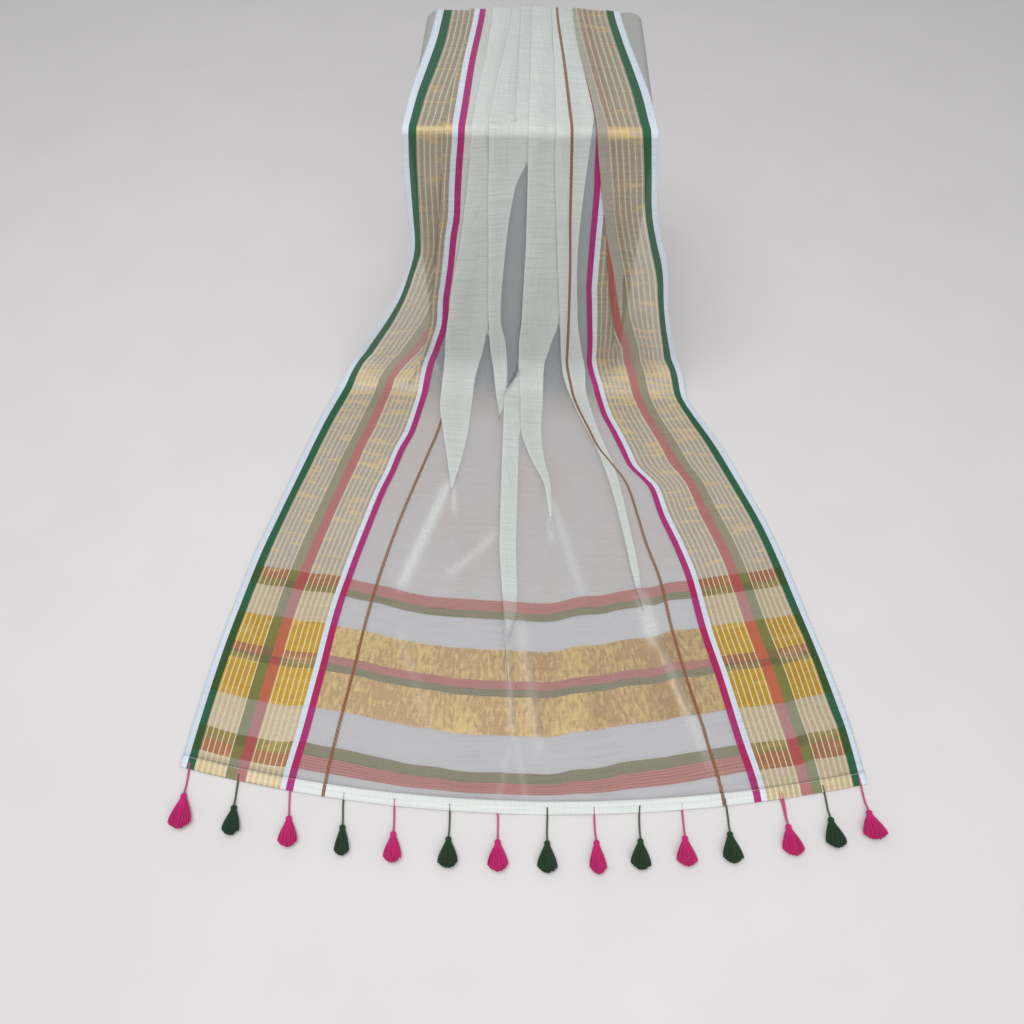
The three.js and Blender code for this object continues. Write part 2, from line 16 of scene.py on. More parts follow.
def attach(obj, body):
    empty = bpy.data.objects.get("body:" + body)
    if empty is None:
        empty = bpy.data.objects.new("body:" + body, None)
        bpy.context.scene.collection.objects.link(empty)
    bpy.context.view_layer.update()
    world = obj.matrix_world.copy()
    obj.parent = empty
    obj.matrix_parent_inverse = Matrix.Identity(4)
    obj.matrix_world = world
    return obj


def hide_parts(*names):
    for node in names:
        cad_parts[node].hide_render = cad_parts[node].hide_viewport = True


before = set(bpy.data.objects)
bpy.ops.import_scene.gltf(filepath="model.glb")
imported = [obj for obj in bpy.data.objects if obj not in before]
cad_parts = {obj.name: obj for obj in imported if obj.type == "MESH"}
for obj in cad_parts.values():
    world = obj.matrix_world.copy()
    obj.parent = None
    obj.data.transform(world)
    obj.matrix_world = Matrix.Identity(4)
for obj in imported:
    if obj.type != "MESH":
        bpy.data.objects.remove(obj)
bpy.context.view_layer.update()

LOG = logging.getLogger("saree")
MM = 0.001
GOLDEN_ANGLE = 2.399963  # radians, spreads strands evenly over a round section
ROOT = "root"

# Places along the cloth, in millimetres: 0 is the stand's front edge, less is on and behind the stand.
FOOT_RUN = 572.0
HEM_RUN = 1510.0
BACK_EDGE_RUN = -410.0
BACK_FOOT_RUN = -946.0
STACK_END_RUN = -1280.0
CLOTH_WIDTH = 1150.0
HEM_WIDTH = 20.0
GAP = 0.3  # between the cloth and what it lies on
STAND_HALF = 205.0
STAND_HEIGHT = 572.0
STAND_EDGE_RADIUS = 12.0
FOOT_RADIUS = 70.0
SHEET_JOIN = 20.0  # how far past the stand's back edge the two sheets meet
FLOOR_REACH = 938.0  # from the stand's front to the middle of the hem


class Colour(str, Enum):
    """sRGB hex of each yarn, thread and paint, and of the painted shade and glint colours."""

    BODY = "#edf1ed"
    BODY_SINGLE = "#c1bebf"
    BODY_PALLU = "#c3c3c8"
    BODY_HUNG_SHADE = "#c2cbcf"
    BODY_WARM = "#c6bbb3"
    SELVEDGE = "#dfe9f4"
    GREEN = "#22603f"
    MAGENTA = "#b22a78"
    OLIVE = "#98936c"
    ROSE = "#c0655f"
    THIN = "#a27c66"
    THIN_GOLD = "#a0683c"
    THIN_DARK = "#6f4c36"
    TISSUE = "#c8bda4"
    TISSUE_LINE = "#f4ead8"
    GLINT = "#efd286"
    FOIL = "#bd9d70"
    FOIL_FLECK = "#e8cf8c"
    WEFT_ROSE = "#c98a88"
    WEFT_OLIVE = "#94927a"
    MUSTARD = "#d8ae22"
    MUSTARD_OLIVE = "#a08a1a"
    RUST = "#bd7028"
    BROWN = "#85592f"
    BROWN_OLIVE = "#7d6428"
    CREAM = "#d9c69c"
    FLAME = "#cb5f2e"
    RED = "#b93c34"
    DULL_ROSE = "#bf7c7a"
    MOSS = "#7d7c14"
    DARK_MOSS = "#66640e"
    DULL_OLIVE = "#8c8d66"
    DARK_GREEN = "#2c5420"
    DEEP_MAGENTA = "#b5145c"
    STAND = "#9c9d99"
    FLOOR = "#dad7d6"
    TASSEL_PINK = "#c4106c"
    TASSEL_GREEN = "#0d3517"
    CORD_PINK = "#c2557c"
    CORD_GREEN = "#4d5a44"
    STITCH = "#f4f4ee"


def linear(colour: Colour | str) -> tuple[float, float, float, float]:
    """Turns an sRGB hex value to linear RGBA.

    Args:
        colour: "#rrggbb", or a Colour.

    Returns:
        Linear red, green, blue and an alpha of 1.
    """
    text = (colour.value if isinstance(colour, Colour) else colour).lstrip("#")
    channels = [int(text[i : i + 2], 16) / 255 for i in (0, 2, 4)]
    r, g, b = (c / 12.92 if c <= 0.04045 else ((c + 0.055) / 1.055) ** 2.4 for c in channels)
    return (r, g, b, 1.0)


def smooth(t: np.ndarray | float) -> np.ndarray:
    """Smoothstep of t, held to 0 and 1."""
    c = np.clip(t, 0.0, 1.0)
    return c * c * (3 - 2 * c)


class Table:
    """Rows of (run, value, value, …), read on a smooth curve that doesn't overshoot between rows."""

    def __init__(self, rows: Sequence[Sequence[float]]) -> None:
        """Keeps the rows, sorted by run.

        Args:
            rows: Each row's run and values.
        """
        self.rows = np.array(sorted(rows), dtype=float)

    def at(self, run: float) -> np.ndarray:
        """The values at a run.

        Args:
            run: Distance along the cloth.

        Returns:
            One value for each column after the first.
        """
        runs, values = self.rows[:, 0], self.rows[:, 1:]
        if run <= runs[0]:
            return values[0]
        if run >= runs[-1]:
            return values[-1]
        i = int(np.searchsorted(runs, run, side="right")) - 1
        steps = np.diff(runs)
        slopes = np.vstack([0 * values[0], np.diff(values, axis=0) / steps[:, None], 0 * values[0]])

        def tangent(k: int) -> np.ndarray:
            before, after = slopes[k], slopes[k + 1]
            product = before * after
            total = np.where(before + after == 0, 1.0, before + after)
            return np.where(product <= 0, 0.0, 2 * product / total)

        length = steps[i]
        t = (run - runs[i]) / length
        ease = t * t * (3 - 2 * t)
        bend = t * (1 - t) * (1 - t) * tangent(i) - t * t * (1 - t) * tangent(i + 1)
        return values[i] + ease * (values[i + 1] - values[i]) + length * bend


# Left and right selvedge, as x at each run.
SELVEDGES = Table([
    (STACK_END_RUN, -174, 174), (BACK_FOOT_RUN, -176, 170), (-410, -186, 163), (-300, -191, 173),
    (-200, -200, 187), (-100, -208, 200), (0, -212, 206), (60, -217, 214), (150, -219, 228),
    (200, -220, 243), (250, -229, 262), (300, -245, 273), (350, -267, 281), (400, -298, 293),
    (450, -331, 308), (500, -363, 325), (572, -400, 347), (640, -424, 358), (690, -435, 377),
    (740, -445, 398), (800, -456, 419), (860, -467, 438), (1000, -495, 483), (1100, -515, 506),
    (1200, -528, 524), (1300, -540, 543), (1400, -547, 559), (HEM_RUN, -552, 567),
])

# Each pleat's edge that shows (fold) and its hidden turn (tuck), as x at each run. Where the tuck is
# left of the fold the pleat is let out and the cloth is flat.
PLEATS = {
    "left border": Table([
        (STACK_END_RUN, -122, -72), (-410, -123, -70), (-40, -140, -90), (0, -142, -98), (200, -167, -113),
        (300, -184, -134), (400, -200, -162), (480, -218, -193), (560, -242, -236),
        (600, -255, -262), (650, -268, -300), (1150, -320, -370),
    ]),
    "first": Table([
        (STACK_END_RUN, -80, -30), (-410, -78, -28), (-40, -95, -55), (0, -97, -72), (200, -125, -70),
        (300, -146, -72), (400, -163, -81), (468, -174, -92), (540, -180, -106), (600, -185, -116),
        (650, -187, -118), (740, -175, -122), (806, -162, -130), (867, -151, -140), (905, -144, -147),
        (950, -132, -160), (1150, -120, -180),
    ]),
    "second": Table([
        (STACK_END_RUN, -42, 12), (-410, -42, 12), (-40, -68, 0), (0, -69, -2), (50, -70, -8),
        (100, -72, -27), (200, -74, -42), (400, -79, -56), (468, -78, -46), (560, -71, -43),
        (620, -66, -44), (650, -63, -46), (687, -56, -53), (740, -54, -66), (1150, -70, -100),
    ]),
    "centre tongue": Table([
        (STACK_END_RUN, -24, 16), (-410, -24, 16), (-60, -26, -2), (0, -26, -40), (440, -26, -50),
        (540, -18, -22), (556, -18, -15), (620, -42, -13), (650, -46, -13), (1000, -44, -13),
        (1150, -32, -8), (1210, -28, -20), (1250, -24, -27), (HEM_RUN, 0, -20),
    ]),
    "third": Table([
        (STACK_END_RUN, -2, 50), (-410, -4, 50), (-40, -4, 48), (0, -4, 42), (200, -5, 56), (330, -9, 66),
        (400, -11, 63), (468, -16, 50), (530, -16, 39), (572, -15, 37), (640, -11, 37), (733, -8, 34),
        (799, 10, 39), (880, 43, 54), (948, 52, 56), (985, 57, 53), (1060, 68, 46), (1150, 75, 42),
    ]),
    "fourth": Table([
        (STACK_END_RUN, 36, 88), (-410, 34, 86), (-40, 40, 100), (0, 40, 97), (200, 52, 90), (400, 68, 103),
        (559, 81, 129), (604, 91, 131), (697, 119, 147), (783, 152, 171), (818, 162, 182), (890, 179, 196),
        (962, 192, 206), (1111, 214, 222), (1180, 229, 222), (1300, 256, 214),
    ]),
    "right border": Table([
        (STACK_END_RUN, 78, 134), (-410, 74, 132), (-40, 104, 158), (0, 107, 157), (200, 143, 177),
        (300, 158, 183), (400, 177, 192), (470, 190, 190), (560, 220, 196), (700, 286, 246),
        (1150, 370, 310),
    ]),
}


class WovenLine(NamedTuple):
    """A woven line: its place across the flat cloth, the stretches of a row that it may lie on, which
    of its crossings counts there, and its x at each run."""

    across: float
    first: int
    last: int
    pick: int
    x: Table


WOVEN_LINES = (
    # inner edge of the left green stripe
    WovenLine(30.0, 0, 0, 0, Table([
        (STACK_END_RUN, -146), (-410, -158), (-300, -161), (-200, -170), (-100, -182), (0, -189),
        (60, -194), (140, -198), (226, -203), (292, -225), (326, -238), (401, -275), (482, -325),
        (572, -374), (650, -394), (729, -413), (877, -443), (1064, -482), (1223, -506),
        (1318, -517), (1448, -526), (HEM_RUN, -528),
    ])),
    # left magenta stripe
    WovenLine(190.5, 0, 2, -1, Table([
        (STACK_END_RUN, -98), (-410, -98), (-200, -108), (0, -114), (60, -121), (107, -126), (154, -130),
        (205, -140), (260, -148), (311, -157), (348, -164), (405, -170), (473, -190), (519, -206),
        (557, -215), (596, -222), (640, -226), (688, -232), (747, -241), (805, -259), (861, -271),
        (914, -286), (1000, -304), (1100, -323), (1200, -338), (1300, -346), (1400, -355), (HEM_RUN, -366),
    ])),
    # left thin line, which comes out from under the first pleat near 700
    WovenLine(246.0, 2, 3, 0, Table([
        (STACK_END_RUN, -52), (-410, -52), (-200, -62), (0, -68), (107, -80), (205, -90), (311, -106),
        (405, -118), (519, -134), (596, -143), (640, -160), (688, -177), (747, -188), (805, -202),
        (861, -216), (914, -229), (1000, -249), (1100, -268), (1200, -282), (1300, -292), (1400, -303),
        (HEM_RUN, -311),
    ])),
    # right thin line
    WovenLine(904.0, 10, 12, -1, Table([
        (STACK_END_RUN, 44), (-410, 44), (-200, 56), (0, 66), (60, 69), (154, 73), (260, 80), (348, 84),
        (405, 86), (473, 88), (519, 89), (557, 93), (596, 100), (640, 107), (680, 119), (725, 135),
        (783, 157), (819, 180), (876, 211), (952, 228), (1011, 239), (1100, 262), (1200, 275),
        (1300, 294), (1400, 315), (HEM_RUN, 330),
    ])),
    # right magenta stripe
    WovenLine(959.5, 12, 14, 0, Table([
        (STACK_END_RUN, 76), (-410, 78), (-200, 92), (0, 110), (60, 112), (107, 115), (205, 116),
        (311, 118), (348, 122), (405, 128), (473, 135), (519, 137), (557, 143), (596, 154), (640, 162),
        (688, 172), (734, 189), (782, 205), (828, 219), (861, 243), (887, 260), (955, 275), (1029, 299),
        (1100, 317), (1200, 330), (1300, 350), (1400, 367), (HEM_RUN, 386),
    ])),
    # inner edge of the right green stripe
    WovenLine(1120.0, 14, 14, -1, Table([
        (STACK_END_RUN, 146), (-410, 137), (-300, 147), (-200, 160), (-105, 171), (-33, 177), (0, 181),
        (75, 194), (129, 202), (217, 226), (281, 247), (350, 262), (386, 270), (425, 279), (465, 290),
        (506, 300), (551, 317), (627, 331), (701, 355), (774, 383), (845, 406), (915, 430), (975, 450),
        (1034, 466), (1089, 478), (1193, 499), (1290, 519), (1379, 532), (1421, 540), (HEM_RUN, 544),
    ])),
)


class Crease(NamedTuple):
    """A soft ridge, or a trough where height is below 0, from one point of the cloth to another. Where
    it gathers the cloth it is whiter, and below 0 it is a sharp fold in shade."""

    run: float
    x: float
    to_run: float
    to_x: float
    half_width: float
    height: float
    gathered: float = 0.0


CREASES = (
    Crease(866, -150, 1130, -228, 9, 3.0, 0.9),
    Crease(872, -145, 950, -136, 5, 2.0, 0.6),
    Crease(985, -46, 1100, -146, 5, 2.0, 0.6),
    Crease(890, 48, 1010, 56, 5, 2.0, 0.6),
    Crease(900, 54, 1130, 116, 6, 2.4, 0.45),
    Crease(1120, 222, 1230, 242, 12, 3.0, 0.8),
    Crease(1230, 250, 1460, 322, 8, 2.6, 0.45),
    Crease(1200, -222, 1380, -150, 7, 2.2, 0.25),
    Crease(1160, -2, 1420, 36, 9, 2.4, 0.35),
    Crease(1176, -28, 1390, -9, 5, 1.6, 0.5),
    Crease(1392, -12, 1500, -30, 4, 1.0, 0.3),
    Crease(1392, -4, 1500, 18, 4, 1.0, 0.3),
    Crease(548, -14, 626, -45, 4, -3.0, -1.0),
    # a storage crease across the drop: a low ridge, with a whiter line along it as a painted highlight
    Crease(288, -190, 296, 250, 4, 1.2, 0.25),
    Crease(110, -176, 270, -184, 17, -1.5, -0.3),
    Crease(150, 150, 330, 200, 9, -1.5, -0.3),
    Crease(1040, 214, 1120, 232, 6, -2.0),
    Crease(60, -160, 330, -196, 16, 5.0),
    Crease(80, 178, 330, 206, 14, 4.0),
    Crease(320, -236, 560, -352, 22, 6.0),
    Crease(340, 226, 600, 300, 18, 5.0),
    Crease(620, -300, 900, -378, 22, 4.0),
    Crease(640, 240, 900, 340, 18, 4.0),
    Crease(900, -420, 1300, -450, 30, 3.0),
    Crease(1000, 390, 1400, 470, 28, 3.0),
)


class SideLine:
    """The line that the cloth's underside follows, seen from the side, with the way out from it."""

    def __init__(self, corners: Sequence[tuple[float, float, float, float]]) -> None:
        """Rounds the corners and keeps close samples.

        Args:
            corners: Each corner's run, y, z and radius, in order of run.
        """
        samples: list[tuple[float, float, float, float, float]] = []
        points = [np.array(c[1:3]) for c in corners]
        runs = [c[0] for c in corners]
        headings = [(b - a) / np.linalg.norm(b - a) for a, b in zip(points, points[1:])]

        def straight(i: int, run: float) -> None:
            t = (run - runs[i]) / (runs[i + 1] - runs[i])
            y, z = points[i] + t * (points[i + 1] - points[i])
            samples.append((run, y, z, headings[i][1], -headings[i][0]))

        for i in range(len(corners) - 1):
            if i:
                before, after, r = headings[i - 1], headings[i], corners[i][3]
                side = 1.0 if before[0] * after[1] - before[1] * after[0] > 0 else -1.0
                centre = points[i] - r * before + r * after
                for turn in np.linspace(0, math.pi / 2, 13):
                    spoke = -math.cos(turn) * after + math.sin(turn) * before
                    y, z = centre + r * spoke
                    run = runs[i] - r + 2 * r * turn / (math.pi / 2)
                    samples.append((run, y, z, side * spoke[0], side * spoke[1]))
            start = runs[i] + (corners[i][3] if i else 0) + 1e-4
            end = runs[i + 1] - corners[i + 1][3] - 1e-4
            straight(i, start)
            straight(i, end)
        self.samples = np.array(samples)

    def at(self, run: float) -> tuple[np.ndarray, np.ndarray]:
        """A point of the line.

        Args:
            run: Distance along the cloth.

        Returns:
            The point as (y, z), and the unit direction away from what the cloth lies on.
        """
        s = self.samples
        y, z, oy, oz = (np.interp(run, s[:, 0], s[:, k]) for k in range(1, 5))
        out = np.array([oy, oz])
        return np.array([y, z]), out / max(1e-9, np.linalg.norm(out))


def bow(run: float, x: np.ndarray) -> np.ndarray:
    """How far points of a row lie behind its middle, because the spread cloth's rows bow forward.

    Args:
        run: Distance along the cloth.
        x: The points' x.

    Returns:
        Millimetres toward +Y.
    """
    hem_bow, starts_over, half_hem = 58.0, 300.0, 550.0
    return hem_bow * smooth((run - FOOT_RUN) / starts_over) * (x / half_hem) ** 2


# How far the weft has been pulled back at each x: near the hem, and at the first band of the pallu.
WEFT_DRIFT = np.array([
    (-560, 9, 9), (-420, 10, 10), (-330, 16, 14), (-270, 13, 6), (-220, 8, 0), (-170, 2, -6), (-80, -1, -8),
    (0, -2, -10), (45, -2, -12), (115, 8, 4), (210, 18, 14), (300, 25, 25), (380, 29, 29), (560, 31, 31),
], dtype=float)


def drift(x: np.ndarray, back: float) -> np.ndarray:
    """How far the woven bands are pulled back from the hem at points of a row.

    Args:
        x: The points' x.
        back: The row's distance back from the hem.

    Returns:
        Millimetres along the cloth.
    """
    weights = np.exp(-(((x[:, None] - WEFT_DRIFT[:, 0]) / 42) ** 2)) + 1e-9
    near, far = (weights @ WEFT_DRIFT[:, k] / weights.sum(axis=1) for k in (1, 2))
    share = float(smooth((back - 150) / 200))
    wander = np.array([noise.noise(Vector((p * 0.02, back * 0.004, 5.0))) * 3.0 for p in x])
    held = float(smooth(back / 80) * (1 - smooth((back - 420) / 200)))
    return held * (near + share * (far - near) + wander)


def add_object(name: str, verts: np.ndarray, faces: Sequence[Sequence[int]],
               material: bpy.types.Material | None = None, smooth_faces: bool = True) -> bpy.types.Object:
    """Makes a mesh object at the origin.

    Args:
        name: The piece's name.
        verts: Points in metres.
        faces: Point indices of each face.
        material: What it is made of.
        smooth_faces: Whether it is shaded smooth.

    Returns:
        The new object.
    """
    mesh = bpy.data.meshes.new(name)
    mesh.from_pydata([tuple(v) for v in np.asarray(verts, dtype=float)], [], [tuple(f) for f in faces])
    mesh.update()
    if smooth_faces:
        mesh.shade_smooth()
    obj = bpy.data.objects.new(name, mesh)
    bpy.context.scene.collection.objects.link(obj)
    if material:
        mesh.materials.append(material)
    return obj


@dataclass
class PleatedCloth:
    """A stretch of the saree as a grid of rows, pleated across and following a side line along."""

    name: str
    line: SideLine
    start: float
    end: float
    row_step: float = 12.0
    forward_points: int = 22
    back_points: int = 5
    thickness: float = 0.45
    pitch: float = 1.2
    pressed_pitch: float = 0.55
    fold_lift: float = 2.6
    relief: float = 1.0
    level_past_turn: float = 4.0
    fall_length: float = 32.0
    bends: tuple[tuple[float, float], ...] = ()
    bend_rows: int = 9

    def runs(self) -> list[float]:
        """The run of each row, close together at the bends."""
        rows = max(2, round((self.end - self.start) / self.row_step) + 1)
        stops = set(np.linspace(self.start, self.end, rows))
        for place, radius in self.bends:
            stops = {s for s in stops if abs(s - place) > radius * 1.15}
            stops |= set(np.linspace(place - radius, place + radius, self.bend_rows))
        return sorted(s for s in stops if self.start - 1e-6 <= s <= self.end + 1e-6)

    def section(self, run: float) -> tuple[np.ndarray, np.ndarray, np.ndarray]:
        """One row of the pleated cloth, left to right along the cloth.

        Args:
            run: Distance along the cloth.

        Returns:
            Each point's x, its height over the side line, and its distance across the flat cloth.
        """
        left, right = SELVEDGES.at(run)
        ends, weights, turns, folds = [left], [], [], []
        for table in PLEATS.values():
            fold, tuck = table.at(run)
            ends += [tuck, fold]
            weight = float(smooth(1 + (tuck - fold) / 12))
            weights += [weight, weight]
            turns += [float(smooth(1 + (tuck - fold) / 3))] * 2
            folds.append(fold)
        ends.append(right)
        loose = float(smooth((run - BACK_FOOT_RUN) / 150))
        lift = self.fold_lift * loose * (0.35 + 0.65 * float(smooth((run - 10) / 80)))
        pitch = self.pressed_pitch + loose * (self.pitch - self.pressed_pitch)

        def height(i: int, x: np.ndarray) -> np.ndarray:
            total = np.full_like(x, self.thickness / 2)
            for j in range(i):
                lo, hi = sorted(ends[j : j + 2])
                past = np.maximum(lo - x, x - hi) - self.level_past_turn
                total += pitch * weights[j] * (1 - smooth(past / self.fall_length))
            for p, fold in enumerate(folds):
                if i > 2 * p:
                    share = 1.0 if i > 2 * p + 1 else 0.3
                    total += share * lift * weights[2 * p] * np.exp(-(((x - fold) / 13) ** 2))
            return total

        spans = np.abs(np.diff(ends))
        flats = [(1 - turn) * min(0.8, a / 12, b / 12) for turn, a, b in zip(turns, spans, spans[1:])]
        xs, hs, stretch_of = [], [], []
        for i in range(len(ends) - 1):
            forward = i % 2 == 0
            count = self.forward_points if forward else self.back_points
            t = np.linspace(0, 1, count)
            t = 0.5 * t + 0.25 * (1 - np.cos(math.pi * t))
            begin = ends[i] + 2 * flats[i - 1] if i else ends[i]
            end = ends[i + 1] - 2 * flats[i] if i < len(flats) else ends[i + 1]
            x = begin + (end - begin) * t
            xs.append(x)
            hs.append(height(i, x))
            stretch_of.append(np.full(count, i))
            if i < len(ends) - 2:
                here = float(height(i, x[-1:])[0])
                there = float(height(i + 1, x[-1:])[0])
                radius = abs(there - here) / 2
                angle = np.radians([-45, 0, 45])
                reach = (1 if forward else -1) * min(radius, 1.2) * turns[i]
                xs.append(ends[i + 1] + reach * np.cos(angle) + flats[i] * np.array([-1.0, 0.0, 1.0]))
                hs.append((here + there) / 2 + np.sign(there - here) * radius * np.sin(angle))
                stretch_of.append(np.full(3, i))
        x, h, which = np.concatenate(xs), np.concatenate(hs), np.concatenate(stretch_of)
        return x, h, self.across(run, x, which)

    def across(self, run: float, x: np.ndarray, which: np.ndarray) -> np.ndarray:
        """Where each point of a row is across the flat cloth, so that the woven lines fall in place.

        Args:
            run: Distance along the cloth.
            x: The points' x.
            which: The stretch that each point is on.

        Returns:
            Millimetres from the left selvedge.
        """
        path = np.concatenate([[0.0], np.cumsum(np.abs(np.diff(x)) + 1e-6)])
        at, place = [0.0], [0.0]
        for woven in WOVEN_LINES:
            line = float(woven.x.at(run)[0])
            allowed = np.flatnonzero((which[:-1] >= woven.first) & (which[:-1] <= woven.last))
            rising = [k for k in allowed if x[k] <= line < x[k + 1]]
            if rising:
                k = rising[woven.pick]
                t = (line - x[k]) / max(1e-6, x[k + 1] - x[k])
                where = path[k] + t * (path[k + 1] - path[k])
                if where > at[-1] + 8:
                    at.append(where)
                    place.append(woven.across)
        return np.interp(path, at + [path[-1]], place + [CLOTH_WIDTH])

    def stacked(self, run: float, x: np.ndarray) -> np.ndarray:
        """How far inside a pleat, where three layers or more lie on each other, each point is.

        Args:
            run: Distance along the cloth.
            x: The points' x.

        Returns:
            Millimetres from the nearest fold or tuck, less than 0 where there is one layer.
        """
        inside = np.full_like(x, -50.0)
        for table in PLEATS.values():
            fold, tuck = table.at(run)
            inside = np.maximum(inside, np.minimum(x - fold, tuck - x))
        return inside

    def gathered(self, run: float, x: np.ndarray) -> np.ndarray:
        """How much the cloth is bunched along a crease at each point.

        Args:
            run: Distance along the cloth.
            x: The points' x.

        Returns:
            From 0, flat, to 1, or to -1 in a fold that lies in shade.
        """
        total = np.zeros_like(x)
        for crease in CREASES:
            if crease.gathered:
                here = crease.gathered * np.minimum(1.0, 1.7 * self.ridge(crease, run, x))
                total = np.where(np.abs(here) > np.abs(total), here, total)
        return total

    @staticmethod
    def ridge(crease: Crease, run: float, x: np.ndarray) -> np.ndarray:
        """A crease's profile at points of a row, from 0 beside it to 1 on its line.

        Args:
            crease: The crease.
            run: Distance along the cloth.
            x: The points' x.

        Returns:
            The share of its full height.
        """
        span = np.array([crease.to_run - crease.run, crease.to_x - crease.x])
        length = float(np.hypot(*span))
        along = ((run - crease.run) * span[0] + (x - crease.x) * span[1]) / length
        aside = ((run - crease.run) * span[1] - (x - crease.x) * span[0]) / length
        t = np.clip(along / length, -0.2, 1.2)
        fade = smooth((t + 0.08) / 0.25) * smooth((1.08 - t) / 0.25)
        return fade * np.exp(-((aside / crease.half_width) ** 2))

    def raised(self, run: float, x: np.ndarray) -> np.ndarray:
        """How far all layers stand off at each point: the belly of the drop, creases and slight waves.

        Args:
            run: Distance along the cloth.
            x: The points' x.

        Returns:
            Millimetres outward.
        """
        hanging = float(smooth((run - 20) / 150) * (1 - smooth((run - 540) / 110)))
        spread = float(smooth((run - 600) / 120))
        total = 6.0 * hanging + 1.6 * spread + 0.0 * x
        for crease in CREASES:
            total = total + crease.height * self.ridge(crease, run, x)
        waves = np.array([
            noise.noise(Vector((p * 0.016, run * 0.006, 3.1))) * 2.2
            + noise.noise(Vector((p * 0.045, run * 0.012, 8.7))) * 0.8
            for p in x
        ])
        return self.relief * np.maximum(0.0, total + waves * (hanging + 0.8 * spread))

    def build(self, material: bpy.types.Material) -> bpy.types.Object:
        """Makes the sheet. Its UV map is in metres: across the cloth, and back from the hem. Its
        attributes Stacked and Gathered say where layers or creases add up.

        Args:
            material: The woven cloth.

        Returns:
            The finished piece.
        """
        rows, across, back, stacked, gathered = [], [], [], [], []
        runs = self.runs()
        for run in runs:
            x, height, u = self.section(run)
            if self.relief:
                height = height + self.raised(run, x)
            base, out = self.line.at(run)
            y = base[0] + out[0] * height + bow(run, x)
            z = base[1] + out[1] * height
            rows.append(np.stack([x, y, z], axis=1) * MM)
            across.append(u * MM)
            back.append((HEM_RUN - run - drift(x, HEM_RUN - run)) * MM)
            stacked.append(self.stacked(run, x) * MM)
            gathered.append(self.gathered(run, x))
        count = len(rows[0])
        verts = np.concatenate(rows)
        grid = np.arange(len(rows) * count).reshape(len(rows), count)
        faces = np.stack(
            [grid[:-1, :-1], grid[1:, :-1], grid[1:, 1:], grid[:-1, 1:]], axis=-1
        ).reshape(-1, 4)
        obj = add_object(self.name, verts, faces.tolist(), material)
        u = np.concatenate(across)
        v = np.concatenate(back)
        layer = obj.data.uv_layers.new(name="Cloth")
        corner = np.empty(len(obj.data.loops), dtype=np.int32)
        obj.data.loops.foreach_get("vertex_index", corner)
        layer.data.foreach_set("uv", np.stack([u[corner], v[corner]], axis=1).ravel().astype(np.float32))
        for label, values in (("Stacked", stacked), ("Gathered", gathered)):
            attribute = obj.data.attributes.new(label, "FLOAT", "POINT")
            attribute.data.foreach_set("value", np.concatenate(values).astype(np.float32))
        wall = obj.modifiers.new("wall", "SOLIDIFY")
        wall.thickness = self.thickness * MM
        wall.offset = 0.0
        return obj


# Materials

def add_node(tree: bpy.types.NodeTree, kind: str, settings: dict[str, Any] | None = None,
             inputs: dict[str | int, Any] | None = None) -> bpy.types.Node:
    """Adds one node with its settings and links.

    Args:
        tree: The node tree.
        kind: The node's type.
        settings: Attributes to set on it.
        inputs: Each socket's value, or the output socket that feeds it.

    Returns:
        The new node.
    """
    made = tree.nodes.new(kind)
    for key, value in (settings or {}).items():
        setattr(made, key, value)
    for key, value in (inputs or {}).items():
        if isinstance(value, bpy.types.NodeSocket):
            tree.links.new(value, made.inputs[key])
        else:
            made.inputs[key].default_value = value
    return made


@dataclass
class Weave:
    """Helper that writes arithmetic as nodes of one material."""

    tree: bpy.types.NodeTree

    def sum(self, operation: str, *terms: Any) -> bpy.types.NodeSocket:
        """One Math node.

        Args:
            operation: Its operation.
            terms: Numbers or sockets.

        Returns:
            Its output.
        """
        made = add_node(self.tree, "ShaderNodeMath", {"operation": operation}, dict(enumerate(terms)))
        return made.outputs[0]

    def product(self, *terms: Any) -> bpy.types.NodeSocket:
        """Multiplies numbers or sockets, from the left."""
        total = terms[0]
        for term in terms[1:]:
            total = self.sum("MULTIPLY", total, term)
        return total

    def steps(self, value: Any, stops: Sequence[tuple[float, Any]], span: float,
              soft: bool = False) -> bpy.types.NodeSocket:
        """A colour ramp over a length.

        Args:
            value: The length's socket, in metres.
            stops: Each stop's place in millimetres and its Colour or grey value.
            span: The length of the whole ramp in millimetres.
            soft: Whether colours blend between stops.

        Returns:
            The ramp's colour.
        """
        scaled = self.sum("DIVIDE", value, span * MM)
        ramp = add_node(self.tree, "ShaderNodeValToRGB", None, {0: scaled})
        ramp.color_ramp.interpolation = "LINEAR" if soft else "CONSTANT"
        elements = ramp.color_ramp.elements
        while len(elements) > 1:
            elements.remove(elements[-1])
        for i, (place, shade) in enumerate(stops):
            stop = elements[0] if i == 0 else elements.new(place / span)
            stop.position = place / span
            stop.color = linear(shade) if isinstance(shade, Colour) else (shade, shade, shade, 1.0)
        return ramp.outputs[0]

    def graded(self, value: Any, low: tuple[float, float],
               high: tuple[float, float]) -> bpy.types.NodeSocket:
        """Maps a number from one range to another, held at both ends.

        Args:
            value: The number's socket.
            low: A place and its result.
            high: A higher place and its result.

        Returns:
            The result.
        """
        made = add_node(self.tree, "ShaderNodeMapRange", None,
                        {0: value, 1: low[0], 2: high[0], 3: low[1], 4: high[1]})
        return made.outputs[0]

    def mix(self, share: Any, first: Any, second: Any, blend: str = "MIX") -> bpy.types.NodeSocket:
        """Mixes two colours.

        Args:
            share: How much of the second.
            first: Socket or RGBA.
            second: Socket or RGBA.
            blend: The way to mix.

        Returns:
            The mixed colour.
        """
        made = add_node(self.tree, "ShaderNodeMix", {"data_type": "RGBA", "blend_type": blend},
                        {0: share, 6: first, 7: second})
        return made.outputs[2]


# Where each weft band begins, back from the hem.
BAND_STARTS = (0, 29, 46, 63, 124, 192, 202, 206, 221, 280, 342, 357, 379)
C = Colour
